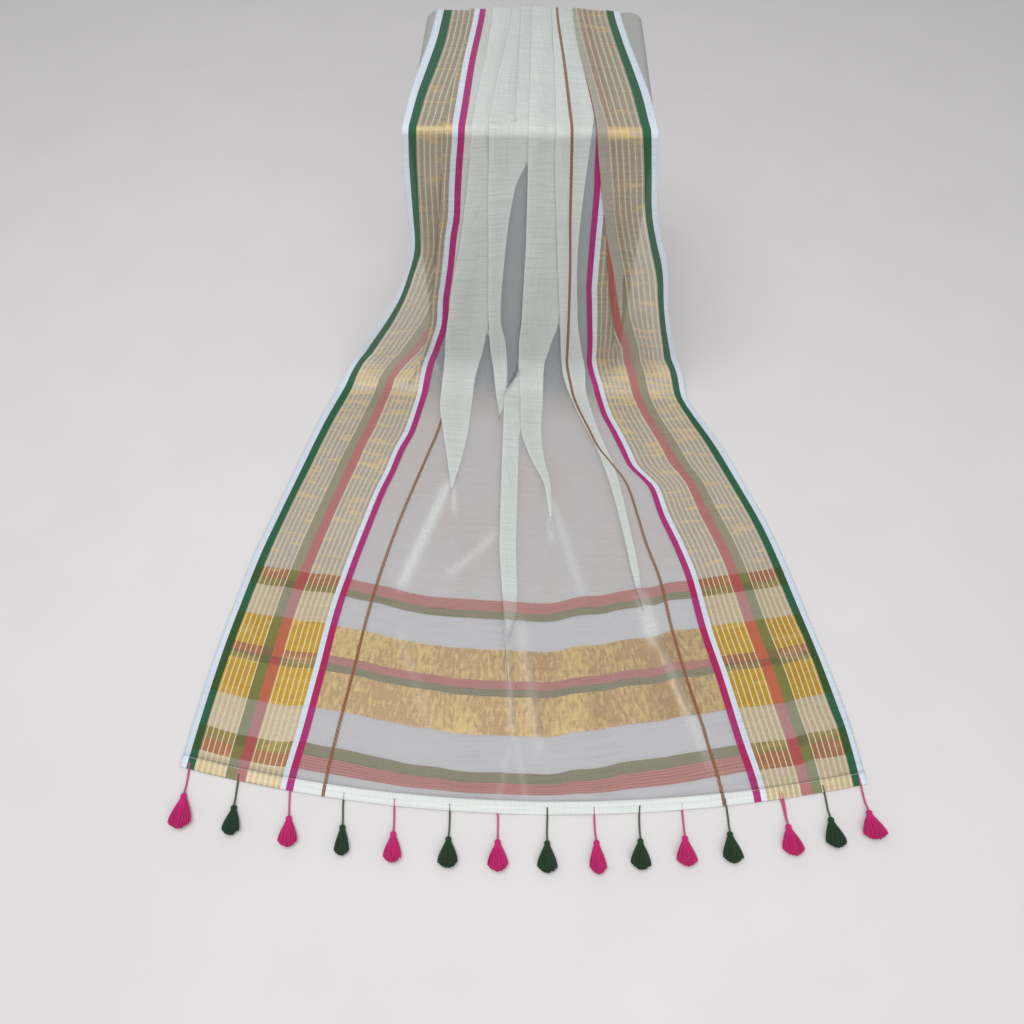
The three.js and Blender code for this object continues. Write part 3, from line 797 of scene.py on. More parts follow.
# The bands of body cloth between the gold and the thin ones.
PLAIN_BANDS = (0, 3, 9, 12)


def two_tone(plain: Colour, banded: Colour) -> tuple[Colour, ...]:
    """A warp's colour in each band: one in the plain bands, one in the others."""
    return tuple(plain if i in PLAIN_BANDS else banded for i in range(len(BAND_STARTS)))


# The colour of each kind of warp in each of those bands.
WARPS: dict[str, tuple[Colour, ...]] = {
    "body": (C.BODY, C.WEFT_ROSE, C.WEFT_OLIVE, C.BODY, C.FOIL, C.WEFT_OLIVE, C.WEFT_OLIVE, C.WEFT_ROSE,
             C.FOIL, C.BODY, C.WEFT_OLIVE, C.WEFT_ROSE, C.BODY),
    "zari": (C.CREAM, C.RUST, C.MUSTARD_OLIVE, C.CREAM, C.MUSTARD, C.MUSTARD_OLIVE, C.BROWN, C.RUST,
             C.MUSTARD, C.CREAM, C.MUSTARD_OLIVE, C.RUST, C.TISSUE),
    "rose": (C.DULL_ROSE, C.RED, C.RED, C.DULL_ROSE, C.FLAME, C.RED, C.BROWN, C.FLAME, C.FLAME,
             C.DULL_ROSE, C.RED, C.RED, C.ROSE),
    "olive": (C.DULL_OLIVE, C.MOSS, C.DARK_MOSS, C.DULL_OLIVE, C.MOSS, C.DARK_MOSS, C.DARK_MOSS,
              C.BROWN_OLIVE, C.MOSS, C.DULL_OLIVE, C.DARK_MOSS, C.MOSS, C.OLIVE),
    "green": two_tone(C.GREEN, C.DARK_GREEN),
    "magenta": two_tone(C.MAGENTA, C.DEEP_MAGENTA),
    "thin": two_tone(C.THIN, C.THIN_GOLD),
    "selvedge": two_tone(C.SELVEDGE, C.SELVEDGE),
}
# Which warp runs where, out from the nearer selvedge.
WARP_STARTS = ((0, "selvedge"), (14, "green"), (30, "zari"), (83, "olive"), (100, "rose"), (117, "zari"),
               (175, "selvedge"), (184, "magenta"), (197, "body"), (243, "thin"), (249, "body"))
# The lengths, in millimetres, that the ramps over warps, over bands and along the cloth reach.
WARP_SPAN, BAND_SPAN, ALONG_SPAN = 260.0, 400.0, 2000.0
# The white lines' start, so that they fall evenly between the stripes, and a dark line's half width.
LINE_OFFSET, DARK_LINE_HALF_WIDTH = 0.0052, 0.0012


class Slubs(NamedTuple):
    """A noise in the weave: how many waves to a metre across and along, and how broken up it is."""

    name: str
    across_scale: float
    along_scale: float
    detail: float = 0.0
    distortion: float = 0.0


SLUBS = (
    Slubs("warp", 330.0, 7.0), Slubs("weft", 9.0, 260.0, 1.0), Slubs("fleck", 135.0, 62.0, 1.0, 0.3),
    Slubs("patch", 16.0, 60.0, 1.0), Slubs("cloud", 11.0, 5.0),
)


@dataclass(frozen=True)
class HandloomCotton:
    """Sheer handloom cotton, plain woven, with silk-like stripes and gold tissue (zari) borders.

    Dry matt yarn with open gaps, so what lies below shows through and layers add up to white.
    """

    name: str = "handloom_cotton_with_zari"
    body_cover: float = 0.26
    stacked_cover: float = 0.42
    border_cover: float = 0.42
    stripe_cover: float = 0.75
    band_cover: float = 0.5
    thin_cover: float = 0.65
    line_spacing: float = 9.6
    line_width: float = 1.6
    roughness: float = 0.8
    ior: float = 1.46
    greyed: float = 1.0
    rib_spacing: float = 3.4
    rib_width: float = 1.3
    twist_spacing: float = 7.0
    relief: float = 0.5
    # painted glint on the zari, at distances back from the hem in millimetres: a band over the stand's
    # front edge, one at its foot, and a little elsewhere
    painted_glints: tuple[tuple[float, float], ...] = (
        (0, 0.05), (500, 0.04), (800, 0.1), (890, 0.2), (960, 0.2), (1010, 0.04), (1495, 0.02),
        (1503, 0.4), (1516, 0.4), (1526, 0.03), (2000, 0.0),
    )
    # the colour that one layer shows: partly the floor under the pallu and body and the stand behind the
    # drop seen through it, partly painted shade, bluish and darkest on the drop against the stand's shaded
    # face
    single_tints: tuple[tuple[float, Colour], ...] = (
        (0, C.BODY_PALLU), (340, C.BODY_PALLU), (420, C.BODY_SINGLE), (850, C.BODY_SINGLE),
        (960, C.BODY_HUNG_SHADE), (2000, C.BODY_HUNG_SHADE),
    )
    # painted light and shade along the cloth: how bright its colours are, the drop brightest and the
    # stand's top and the floor a little darker
    painted_light_level: tuple[tuple[float, float], ...] = (
        (0, 0.96), (850, 0.95), (1000, 1.0), (1250, 1.0), (1420, 0.96), (1500, 0.92), (2000, 0.90),
    )
    # how much the bend at the stand's foot lies in shade
    foot_shade: tuple[tuple[float, float], ...] = (
        (0, 0.0), (800, 0.0), (845, 0.15), (875, 0.35), (905, 0.62), (930, 0.88), (942, 0.9), (956, 0.5),
        (985, 0.0), (2000, 0.0),
    )

    def make(self) -> bpy.types.Material:
        """Builds the node tree.

        Returns:
            The material.
        """
        material = bpy.data.materials.new(self.name)
        material.use_nodes = True
        tree = material.node_tree
        tree.nodes.clear()
        w = Weave(tree)
        place = add_node(tree, "ShaderNodeUVMap", {"uv_map": "Cloth"})
        parts = add_node(tree, "ShaderNodeSeparateXYZ", None, {0: place.outputs[0]})
        across, along = parts.outputs[0], parts.outputs[1]
        # distance from the nearer selvedge: the cloth is the same both ways across
        edge = w.sum("MINIMUM", across, w.sum("SUBTRACT", CLOTH_WIDTH * MM, across))
        edge = w.sum("MAXIMUM", edge, 0.0)

        def where(*kinds: str) -> bpy.types.NodeSocket:
            return w.steps(edge, [(p, 1.0 if k in kinds else 0.0) for p, k in WARP_STARTS], WARP_SPAN)

        def in_bands(*wanted: Colour) -> bpy.types.NodeSocket:
            stops = [(p, 1.0 if c in wanted else 0.0) for p, c in zip(BAND_STARTS, WARPS["body"])]
            return w.steps(along, stops, BAND_SPAN)

        def along_cloth(stops: Sequence[tuple[float, Any]]) -> bpy.types.NodeSocket:
            return w.steps(along, stops, ALONG_SPAN, soft=True)

        in_zari, in_body = where("zari"), where("body")
        in_foil = in_bands(C.FOIL)
        in_thin = in_bands(C.WEFT_ROSE, C.WEFT_OLIVE)
        plain_body = w.product(in_body, w.sum("SUBTRACT", 1.0, w.sum("MAXIMUM", in_foil, in_thin)))

        # one layer lets the ground show and looks grey, pleats and creases add up to white
        inside = add_node(tree, "ShaderNodeAttribute", {"attribute_name": "Stacked"}).outputs["Fac"]
        bunched = add_node(tree, "ShaderNodeAttribute", {"attribute_name": "Gathered"}).outputs["Fac"]
        # pleats are pressed to a sharp edge higher up and loosen toward the pallu
        loose = w.graded(along, (0.30, 1.0), (0.40, 0.0))
        sharp_edge = w.graded(inside, (-0.0018, 0.0), (-0.0004, 1.0))
        soft_edge = w.graded(inside, (-0.003, 0.0), (0.006, 0.75))
        edges = w.sum("ADD", w.product(loose, w.sum("SUBTRACT", soft_edge, sharp_edge)), sharp_edge)
        plies = w.sum("MAXIMUM", edges, bunched)
        # painted shade in sharp folds, where Gathered is below 0
        fold_shade = w.sum("MAXIMUM", w.product(bunched, -1.0), 0.0)
        single = w.product(w.sum("SUBTRACT", 1.0, plies), plain_body, self.greyed)

        # slubs: uneven threads, drawn 3 to 8 mm apart because the real 0.4 mm threads are too fine to show
        grain = {}
        for slubs in SLUBS:
            joined = add_node(tree, "ShaderNodeCombineXYZ", None, {
                0: w.product(across, slubs.across_scale), 1: w.product(along, slubs.along_scale)})
            grain[slubs.name] = add_node(tree, "ShaderNodeTexNoise", {"noise_dimensions": "2D"}, {
                "Vector": joined.outputs[0], "Scale": 1.0, "Detail": slubs.detail,
                "Distortion": slubs.distortion}).outputs[0]
        slub = w.sum("ADD", w.product(grain["warp"], 0.3), w.product(grain["weft"], 0.7))
        in_clouds = w.graded(grain["cloud"], (0.45, 0.0), (0.6, 1.0))
        thick_weft = w.product(w.graded(grain["weft"], (0.60, 0.0), (0.68, 1.0)), in_clouds)

        # white lines woven into the zari
        phase = w.sum("MODULO", w.sum("ADD", edge, LINE_OFFSET), self.line_spacing * MM)
        on_line = w.product(w.sum("LESS_THAN", phase, self.line_width * MM), in_zari)
        halfway = (self.line_spacing + self.line_width) * 0.5 * MM
        between = w.sum("COMPARE", phase, halfway, DARK_LINE_HALF_WIDTH)

        colour = None
        for kind, wefts in WARPS.items():
            ramp = w.steps(along, list(zip(BAND_STARTS, wefts)), BAND_SPAN)
            colour = ramp if colour is None else w.mix(where(kind), colour, ramp)
        # painted glints on the zari: a band over the stand's edge, one at its foot, and scattered patches
        # elsewhere
        glint_along = along_cloth(self.painted_glints)
        glint = w.graded(w.sum("ADD", grain["patch"], glint_along), (0.62, 0.0), (0.78, 1.0))
        glint = w.product(glint, in_zari, w.graded(along, (0.36, 0.3), (0.42, 1.0)))
        flecks = w.sum("ADD", grain["fleck"], w.product(grain["cloud"], 0.5))
        fleck = w.product(w.graded(flecks, (0.64, 0.0), (0.98, 0.7)), in_foil, in_body)
        # painted shade: one layer is drawn in these greys, darker and bluish where it hangs against the
        # stand
        ground = along_cloth(self.single_tints)
        warmth = w.graded(grain["cloud"], (0.45, 0.0), (0.65, 0.7))
        tint = w.mix(warmth, ground, linear(Colour.BODY_WARM))
        tint = w.mix(w.graded(along, (0.34, 1.0), (0.42, 0.0)), tint, ground)
        tint = w.mix(w.graded(along, (0.86, 0.0), (0.96, 1.0)), tint, ground)
        colour = w.mix(single, colour, tint)
        # five fine dark picks to each thin band, and faint ones in the gold
        pick = w.sum("MODULO", w.sum("ADD", along, 1.0), self.rib_spacing * MM)
        pick = w.sum("LESS_THAN", pick, self.rib_width * MM)
        ribbed = w.product(in_thin, w.sum("MAXIMUM", in_body, in_zari))
        ribbed = w.sum("MAXIMUM", ribbed, w.product(in_foil, in_zari, 0.6))
        colour = w.mix(w.product(pick, ribbed, 0.45), colour, linear(Colour.BROWN_OLIVE))
        worn_gold = w.product(in_foil, in_zari, w.graded(grain["fleck"], (0.45, 0.0), (0.65, 0.25)))
        colour = w.mix(worn_gold, colour, linear(Colour.RUST))
        twist = w.sum("MODULO", w.sum("ADD", along, across), self.twist_spacing * MM)
        twist = w.sum("LESS_THAN", twist, self.twist_spacing * MM / 2)
        colour = w.mix(w.product(twist, where("thin"), 0.55), colour, linear(Colour.THIN_DARK))
        colour = w.mix(w.product(between, in_zari, 0.15), colour, linear(Colour.BROWN))
        colour = w.mix(w.product(glint, 0.75), colour, linear(Colour.GLINT))
        colour = w.mix(fleck, colour, linear(Colour.FOIL_FLECK))
        colour = w.mix(w.product(on_line, 0.9), colour, linear(Colour.TISSUE_LINE))
        banded = w.product(w.sum("MAXIMUM", in_foil, in_thin), in_body)
        pale = w.product(w.sum("MAXIMUM", banded, where("olive")), w.sum("MAXIMUM", plies, 0.0))
        colour = w.mix(w.product(pale, 0.4), colour, linear(Colour.BODY))
        # colour shade: slubs and thick weft threads of the weave, and painted shade beside a pleat's edge,
        # in sharp folds, at the bend of the stand's foot and toward the middle of pleats
        foot = w.product(along_cloth(self.foot_shade), single)
        beside = w.graded(inside, (-0.014, 0.0), (-0.001, 1.0))
        beside = w.product(beside, w.sum("MAXIMUM", single, 0.0))
        deep_inside = w.graded(inside, (0.004, 0.0), (0.03, 1.0))
        shade = w.graded(slub, (0.25, 0.92), (0.7, 1.0))
        for share, depth in (
            (w.product(thick_weft, self.greyed), 0.16), (beside, 0.12), (fold_shade, 0.45), (foot, 0.34),
            (deep_inside, 0.05),
        ):
            shade = w.product(shade, w.sum("SUBTRACT", 1.0, w.product(share, depth)))
        # painted light and shade along the cloth: the drop brightest, the stand's top and the floor darker
        shade = w.product(shade, along_cloth(self.painted_light_level))
        colour = w.mix(1.0, colour, shade, "MULTIPLY")

        covers = {"body": self.body_cover, "zari": self.border_cover, "olive": self.border_cover,
                  "rose": self.border_cover, "thin": self.thin_cover}
        cover = w.steps(edge, [(p, covers.get(k, self.stripe_cover)) for p, k in WARP_STARTS], WARP_SPAN)
        cover = w.sum("MAXIMUM", cover, w.product(plies, self.stacked_cover))
        cover = w.sum("MAXIMUM", cover, w.product(w.sum("MAXIMUM", in_foil, in_thin), self.band_cover))
        cover = w.sum("ADD", cover, w.product(w.sum("MAXIMUM", foot, fold_shade), 0.3))
        cover = w.sum("ADD", cover, w.product(in_foil, in_zari, 0.15))
        cover = w.product(cover, w.graded(slub, (0.25, 0.93), (0.7, 1.05)))
        metal = w.sum("MAXIMUM", w.product(in_zari, 0.35), w.product(in_foil, in_body, 0.4))
        metal = w.product(metal, w.sum("SUBTRACT", 1.0, on_line))
        rough = w.sum("SUBTRACT", self.roughness, w.product(metal, 0.9))
        bump = add_node(tree, "ShaderNodeBump", None, {
            "Strength": 0.2, "Distance": self.relief * MM, "Height": grain["weft"]})
        shader = add_node(tree, "ShaderNodeBsdfPrincipled", None, {
            "Base Color": colour, "Metallic": metal, "Roughness": rough, "IOR": self.ior, "Alpha": cover,
            "Normal": bump.outputs[0], "Sheen Weight": 0.15, "Sheen Roughness": 0.5,
        })
        add_node(tree, "ShaderNodeOutputMaterial", None, {"Surface": shader.outputs[0]})
        return material


@dataclass(frozen=True)
class PlainFinish:
    """A solid finish with fine grain: one colour, broken up by noise at a real size."""

    name: str
    colour: Colour
    darker: Colour | None
    roughness: float
    grain: float
    bump: float
    ior: float = 1.46
    sheen: float = 0.0
    clouds: float = 6.0

    def make(self) -> bpy.types.Material:
        """Builds the node tree.

        Returns:
            The material.
        """
        material = bpy.data.materials.new(self.name)
        material.use_nodes = True
        tree = material.node_tree
        tree.nodes.clear()
        place = add_node(tree, "ShaderNodeTexCoord")
        grain = add_node(tree, "ShaderNodeTexNoise", None, {
            "Vector": place.outputs["Object"], "Scale": 1 / (self.grain * MM), "Detail": 3.0})
        cloud = add_node(tree, "ShaderNodeTexNoise", None, {
            "Vector": place.outputs["Object"], "Scale": self.clouds})
        w = Weave(tree)
        dark = tuple(c * 0.8 for c in linear(self.darker or self.colour)[:3]) + (1.0,)
        share = w.sum("MULTIPLY", w.sum("ADD", grain.outputs[0], cloud.outputs[0]), 0.3)
        colour = w.mix(share, linear(self.colour), dark)
        bump = add_node(tree, "ShaderNodeBump", None, {
            "Strength": 0.4, "Distance": self.bump * MM, "Height": grain.outputs[0]})
        shader = add_node(tree, "ShaderNodeBsdfPrincipled", None, {
            "Base Color": colour, "Roughness": self.roughness, "IOR": self.ior,
            "Normal": bump.outputs[0], "Sheen Weight": self.sheen, "Sheen Roughness": 0.5,
        })
        add_node(tree, "ShaderNodeOutputMaterial", None, {"Surface": shader.outputs[0]})
        return material


# Parts made of tubes and rings

class Parts:
    """Gathers closed shapes of one piece, each with its material."""

    def __init__(self) -> None:
        """Starts empty."""
        self.verts: list[np.ndarray] = []
        self.faces: list[tuple[int, ...]] = []
        self.slots: list[int] = []
        self.count = 0

    def loft(self, rings: Sequence[np.ndarray], slot: int = 0, closed: bool = True) -> None:
        """Joins rings of points into one shape.

        Args:
            rings: Rings with the same number of points, in millimetres.
            slot: Its material's place.
            closed: Whether both ends get a face.
        """
        size, base = len(rings[0]), self.count
        for r in range(len(rings) - 1):
            for i in range(size):
                j = (i + 1) % size
                a, b = base + r * size, base + (r + 1) * size
                self.faces.append((a + i, a + j, b + j, b + i))
        if closed:
            last = base + (len(rings) - 1) * size
            self.faces.append(tuple(range(base + size - 1, base - 1, -1)))
            self.faces.append(tuple(range(last, last + size)))
        self.slots += [slot] * (len(self.faces) - len(self.slots))
        self.verts += [np.asarray(ring, dtype=float) for ring in rings]
        self.count += size * len(rings)

    def tube(self, points: np.ndarray, radii: Sequence[float] | float, sides: int = 8,
             slot: int = 0) -> None:
        """Sweeps a round section along points.

        Args:
            points: The path, in millimetres.
            radii: One radius, or one for each point.
            sides: Faces round the tube.
            slot: Its material's place.
        """
        points = np.asarray(points, dtype=float)
        radii = np.full(len(points), radii) if np.isscalar(radii) else np.asarray(radii)
        along = np.gradient(points, axis=0)
        along /= np.linalg.norm(along, axis=1)[:, None]
        across = np.cross(along[0], (0.3, 0.2, 0.93))
        rings = []
        angles = np.linspace(0, 2 * math.pi, sides, endpoint=False)
        for point, axis, radius in zip(points, along, radii):
            across = across - axis * across.dot(axis)
            across /= np.linalg.norm(across)
            up = np.cross(axis, across)
            rings.append(point + radius * (np.cos(angles)[:, None] * across + np.sin(angles)[:, None] * up))
        self.loft(rings, slot)

    def build(self, name: str, materials: Sequence[bpy.types.Material]) -> bpy.types.Object:
        """Makes the piece.

        Args:
            name: Its name.
            materials: What its slots are made of.

        Returns:
            The object.
        """
        obj = add_object(name, np.concatenate(self.verts) * MM, self.faces)
        for material in materials:
            obj.data.materials.append(material)
        obj.data.polygons.foreach_set("material_index", self.slots)
        return obj


def turned(degrees: float, x: float, y: float, z: float) -> Callable[[np.ndarray], np.ndarray]:
    """A move of points: turned about Z, then shifted.

    Args:
        degrees: The turn.
        x: Shift along X in millimetres.
        y: Shift along Y.
        z: Shift along Z.

    Returns:
        The function that moves points.
    """
    c, s = math.cos(math.radians(degrees)), math.sin(math.radians(degrees))
    turn = np.array([(c, -s, 0), (s, c, 0), (0, 0, 1)])
    return lambda points: points @ turn.T + np.array([x, y, z])


def plain_mesh(obj: bpy.types.Object) -> bpy.types.Object:
    """Turns what an object's modifiers make into its own plain mesh.

    Args:
        obj: The object, with its modifiers.

    Returns:
        The same object without modifiers.
    """
    graph = bpy.context.evaluated_depsgraph_get()
    made = bpy.data.meshes.new_from_object(obj.evaluated_get(graph))
    obj.modifiers.clear()
    obj.data = made
    return obj


def node_group(name: str, sizes: Sequence[tuple[str, str, Any]],
               ) -> tuple[bpy.types.GeometryNodeTree, bpy.types.Node]:
    """Starts a Geometry Nodes tree with a geometry input and named sizes.

    Args:
        name: The tree's name.
        sizes: Each input's name, socket type and usual value.

    Returns:
        The tree and its Group Input node.
    """
    tree = bpy.data.node_groups.new(name, "GeometryNodeTree")
    tree.interface.new_socket("Geometry", in_out="INPUT", socket_type="NodeSocketGeometry")
    for label, kind, value in sizes:
        socket = tree.interface.new_socket(label, in_out="INPUT", socket_type=kind)
        if value is not None:
            socket.default_value = value
    tree.interface.new_socket("Geometry", in_out="OUTPUT", socket_type="NodeSocketGeometry")
    return tree, add_node(tree, "NodeGroupInput")


def apply_group(obj: bpy.types.Object, tree: bpy.types.GeometryNodeTree,
                values: dict[str, Any]) -> bpy.types.Object:
    """Runs a Geometry Nodes tree on an object and keeps the result as its mesh.

    Args:
        obj: The object that the tree starts from.
        tree: The tree.
        values: Its inputs by name.

    Returns:
        The object with a plain mesh.
    """
    modifier = obj.modifiers.new(tree.name, "NODES")
    modifier.node_group = tree
    for item in tree.interface.items_tree:
        if item.in_out == "INPUT" and item.name in values:
            modifier[item.identifier] = values[item.name]
    return plain_mesh(obj)


class TasselSize(NamedTuple):
    """One tassel: where its cord leaves the hem, its lean toward +X, and its bundle of strands."""

    x: float
    lean: float
    half_width: float
    length: float
    cords: int = 1


TASSELS = (
    TasselSize(-537, 6, 19, 54), TasselSize(-452, 5, 14, 45), TasselSize(-364, 8, 15, 46),
    TasselSize(-276, 6, 12, 45), TasselSize(-194, 4, 14.5, 45), TasselSize(-106, 2, 16.5, 45),
    TasselSize(-30, 3, 16.5, 46), TasselSize(49, 0, 16, 46), TasselSize(124, 2, 13, 48),
    TasselSize(196, -3, 16, 45), TasselSize(264, -1, 16.5, 44), TasselSize(334, 0, 16, 46),
    TasselSize(424, 4, 17, 46, 2), TasselSize(494, 2, 17, 45), TasselSize(556, 3, 20, 44),
)


@dataclass
class Tassels:
    """Soft cotton tassels: a two-ply cord, a bound head and a bell of cut strands, lying on the floor."""

    cord_length: float = 38.0
    ply_radius: float = 1.0
    over_hem: float = 11.0
    hem_top: float = 1.9
    head_length: float = 9.0
    head_radius: float = 5.0
    strands: int = 150
    strand_radius: float = 1.05
    half_height: float = 7.5
    root_radius: float = 3.4
    neck_radius: float = 3.6
    wrap_radius: float = 4.0
    wrap_thread: float = 0.5
    wrap_turns: int = 4
    wrap_width: float = 3.2
    twist_length: float = 5.5
    cord_points: int = 60

    def bell_tree(self) -> bpy.types.GeometryNodeTree:
        """The tree that fills a bell shape with strands, from the head outward.

        Returns:
            The Geometry Nodes tree.
        """
        floats = "NodeSocketFloat"
        tree, given = node_group("tassel_bell", (
            ("Strands", "NodeSocketInt", self.strands), ("Length", floats, 0.04),
            ("Half width", floats, 0.016),
            ("Half height", floats, self.half_height * MM), ("Root radius", floats, 0.003),
            ("Root height", floats, 0.005), ("Start", floats, 0.045), ("Strand radius", floats, 0.001),
            ("Seed", "NodeSocketInt", 1), ("Yarn", "NodeSocketMaterial", None),
        ))
        g = given.outputs

        def m(operation: str, *terms: Any) -> bpy.types.NodeSocket:
            made = add_node(tree, "ShaderNodeMath", {"operation": operation}, dict(enumerate(terms)))
            return made.outputs[0]

        line = add_node(tree, "GeometryNodeCurvePrimitiveLine", None, {"End": (0.0, -1.0, 0.0)})
        line = add_node(tree, "GeometryNodeResampleCurve", None, {"Curve": line.outputs[0], "Count": 7})
        copies = add_node(tree, "GeometryNodeDuplicateElements", {"domain": "SPLINE"}, {
            "Geometry": line.outputs[0], "Amount": g["Strands"]})
        number = copies.outputs["Duplicate Index"]
        t = add_node(tree, "GeometryNodeSplineParameter").outputs["Factor"]
        angle = m("MULTIPLY", number, GOLDEN_ANGLE)
        spread = m("SQRT", m("DIVIDE", m("ADD", number, 0.5), g["Strands"]))
        wander = add_node(tree, "FunctionNodeRandomValue", {"data_type": "FLOAT"}, {
            2: -1.0, 3: 1.0, "ID": number, "Seed": g["Seed"]}).outputs[1]
        flare = m("SUBTRACT", 1.0, m("POWER", m("SUBTRACT", 1.0, t), 1.3))
        at_root = m("MULTIPLY", g["Root radius"], m("SUBTRACT", 1.0, flare))
        wide = m("ADD", at_root, m("MULTIPLY", g["Half width"], flare))
        high = m("ADD", at_root, m("MULTIPLY", g["Half height"], flare))
        wide = m("MULTIPLY", wide, m("SUBTRACT", 1.0, m("MULTIPLY", m("POWER", t, 6.0), 0.06)))
        x = m("MULTIPLY", m("MULTIPLY", m("COSINE", angle), spread), wide)
        x = m("ADD", x, m("MULTIPLY", m("MULTIPLY", wander, t), 0.0009))
        upward = m("MULTIPLY", m("SINE", angle), spread)
        rise = m("MULTIPLY", m("ADD", 1.0, upward), high)
        root = m("ADD", g["Root height"], m("MULTIPLY", upward, g["Root radius"]))
        settle = m("SMOOTH_MIN", 1.0, m("MULTIPLY", t, 2.2), 0.3)
        resting = m("MULTIPLY", m("ADD", rise, g["Strand radius"]), settle)
        z = m("ADD", m("MULTIPLY", root, m("SUBTRACT", 1.0, settle)), resting)
        reach = m("MULTIPLY", g["Length"], m("SUBTRACT", m("ADD", 1.0, m("MULTIPLY", wander, 0.035)),
                  m("MULTIPLY", m("MULTIPLY", spread, spread), 0.22)))
        y = m("MULTIPLY", m("ADD", g["Start"], m("MULTIPLY", t, reach)), -1.0)
        at = add_node(tree, "ShaderNodeCombineXYZ", None, {0: x, 1: y, 2: z})
        bent = add_node(tree, "GeometryNodeSetPosition", None, {
            "Geometry": copies.outputs["Geometry"], "Position": at.outputs[0]})
        ring = add_node(tree, "GeometryNodeCurvePrimitiveCircle", None, {
            "Resolution": 4, "Radius": g["Strand radius"]})
        tubes = add_node(tree, "GeometryNodeCurveToMesh", None, {
            "Curve": bent.outputs[0], "Profile Curve": ring.outputs[0], "Fill Caps": True})
        shaded = add_node(tree, "GeometryNodeSetShadeSmooth", None, {"Geometry": tubes.outputs[0]})
        plain = add_node(tree, "GeometryNodeRealizeInstances", None, {"Geometry": shaded.outputs[0]})
        dyed = add_node(tree, "GeometryNodeSetMaterial", None, {
            "Geometry": plain.outputs[0], "Material": g["Yarn"]})
        joined = add_node(tree, "GeometryNodeJoinGeometry")
        tree.links.new(dyed.outputs[0], joined.inputs[0])
        tree.links.new(g["Geometry"], joined.inputs[0])
        add_node(tree, "NodeGroupOutput", None, {0: joined.outputs[0]})
        return tree

    def cord_paths(self, cords: int, phase: float) -> list[np.ndarray]:
        """The plies of a tassel's cords, from over the hem to the head.

        Args:
            cords: How many cords it has.
            phase: What makes its sway its own.

        Returns:
            Each ply's points in millimetres, with the hem's edge at y 0.
        """
        head_z = self.head_radius + 0.2
        along = np.linspace(0, 1, self.cord_points)
        reach = self.over_hem + self.cord_length + 2
        away = along * reach - self.over_hem
        drop = smooth((away - 1.0) / 14)
        height = self.hem_top * (1 - drop) + self.ply_radius * 1.9 * drop
        rising = smooth((away - self.cord_length * 0.7) / (self.cord_length * 0.3))
        height = height + (head_z - height) * rising
        sway = 1.6 * (np.sin(along * 3.1 + phase) - math.sin(phase)) * (1 - along)
        paths = []
        for n in range(cords):
            aside = (n - (cords - 1) / 2) * 5.0 * (1 - along)
            for ply in (0.0, math.pi):
                twist = along * reach / self.twist_length * 2 * math.pi + ply
                paths.append(np.stack([
                    sway + aside + self.ply_radius * 0.8 * np.cos(twist), -away,
                    height + self.ply_radius * 0.8 * np.sin(twist)], axis=1))
        return paths

    def build(self, yarns: Sequence[bpy.types.Material],
              cords: Sequence[bpy.types.Material]) -> list[bpy.types.Object]:
        """Makes all tassels.

        Args:
            yarns: The two dyed yarns.
            cords: The cord of each.

        Returns:
            One piece for each tassel.
        """
        tree = self.bell_tree()
        pieces = []
        for i, size in enumerate(TASSELS):
            parts = Parts()
            head_z = self.head_radius + 0.2
            for path in self.cord_paths(size.cords, i):
                parts.tube(path, self.ply_radius, 6, 1)
            t = np.linspace(0, 1, 9)
            girth = self.head_radius * np.sqrt(np.clip(1 - (2 * t - 1) ** 2, 0.02, 1))
            girth = np.maximum(girth, np.where(t > 0.5, self.neck_radius, 0.5))
            middle = np.stack([0 * t, -self.cord_length - self.head_length * t, 0 * t + head_z], axis=1)
            parts.tube(middle, girth, 14, 0)
            turns = np.linspace(0, self.wrap_turns * 2 * math.pi, 80)
            wrap_y = -self.cord_length - self.head_length * 0.92 - turns / turns[-1] * self.wrap_width
            wrap = np.stack([self.wrap_radius * np.cos(turns), wrap_y,
                             head_z + self.wrap_radius * np.sin(turns)], axis=1)
            parts.tube(wrap, self.wrap_thread, 5, 0)
            y = -STAND_HALF - FLOOR_REACH + float(bow(HEM_RUN, np.array([size.x]))[0])
            kind = i % 2
            obj = parts.build(f"tassel_bell_{i + 1:02d}", (yarns[kind], cords[kind]))
            start = self.cord_length + self.head_length * 0.8
            obj = apply_group(obj, tree, {
                "Strands": self.strands, "Length": (size.length - self.head_length * 0.8) * MM,
                "Half width": size.half_width * MM, "Half height": self.half_height * MM,
                "Root radius": self.root_radius * MM, "Root height": head_z * MM, "Start": start * MM,
                "Strand radius": self.strand_radius * MM, "Seed": i + 1, "Yarn": yarns[kind],
            })
            move = turned(size.lean, size.x, y, 0.0)
            points = np.empty(len(obj.data.vertices) * 3, dtype=np.float32)
            obj.data.vertices.foreach_get("co", points)
            placed = move(points.reshape(-1, 3).astype(float) / MM) * MM
            obj.data.vertices.foreach_set("co", placed.ravel().astype(np.float32))
            obj.data.update()
            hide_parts(f"tassel_{i + 1:02d}")
            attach(obj, ROOT)
            pieces.append(obj)
        return pieces


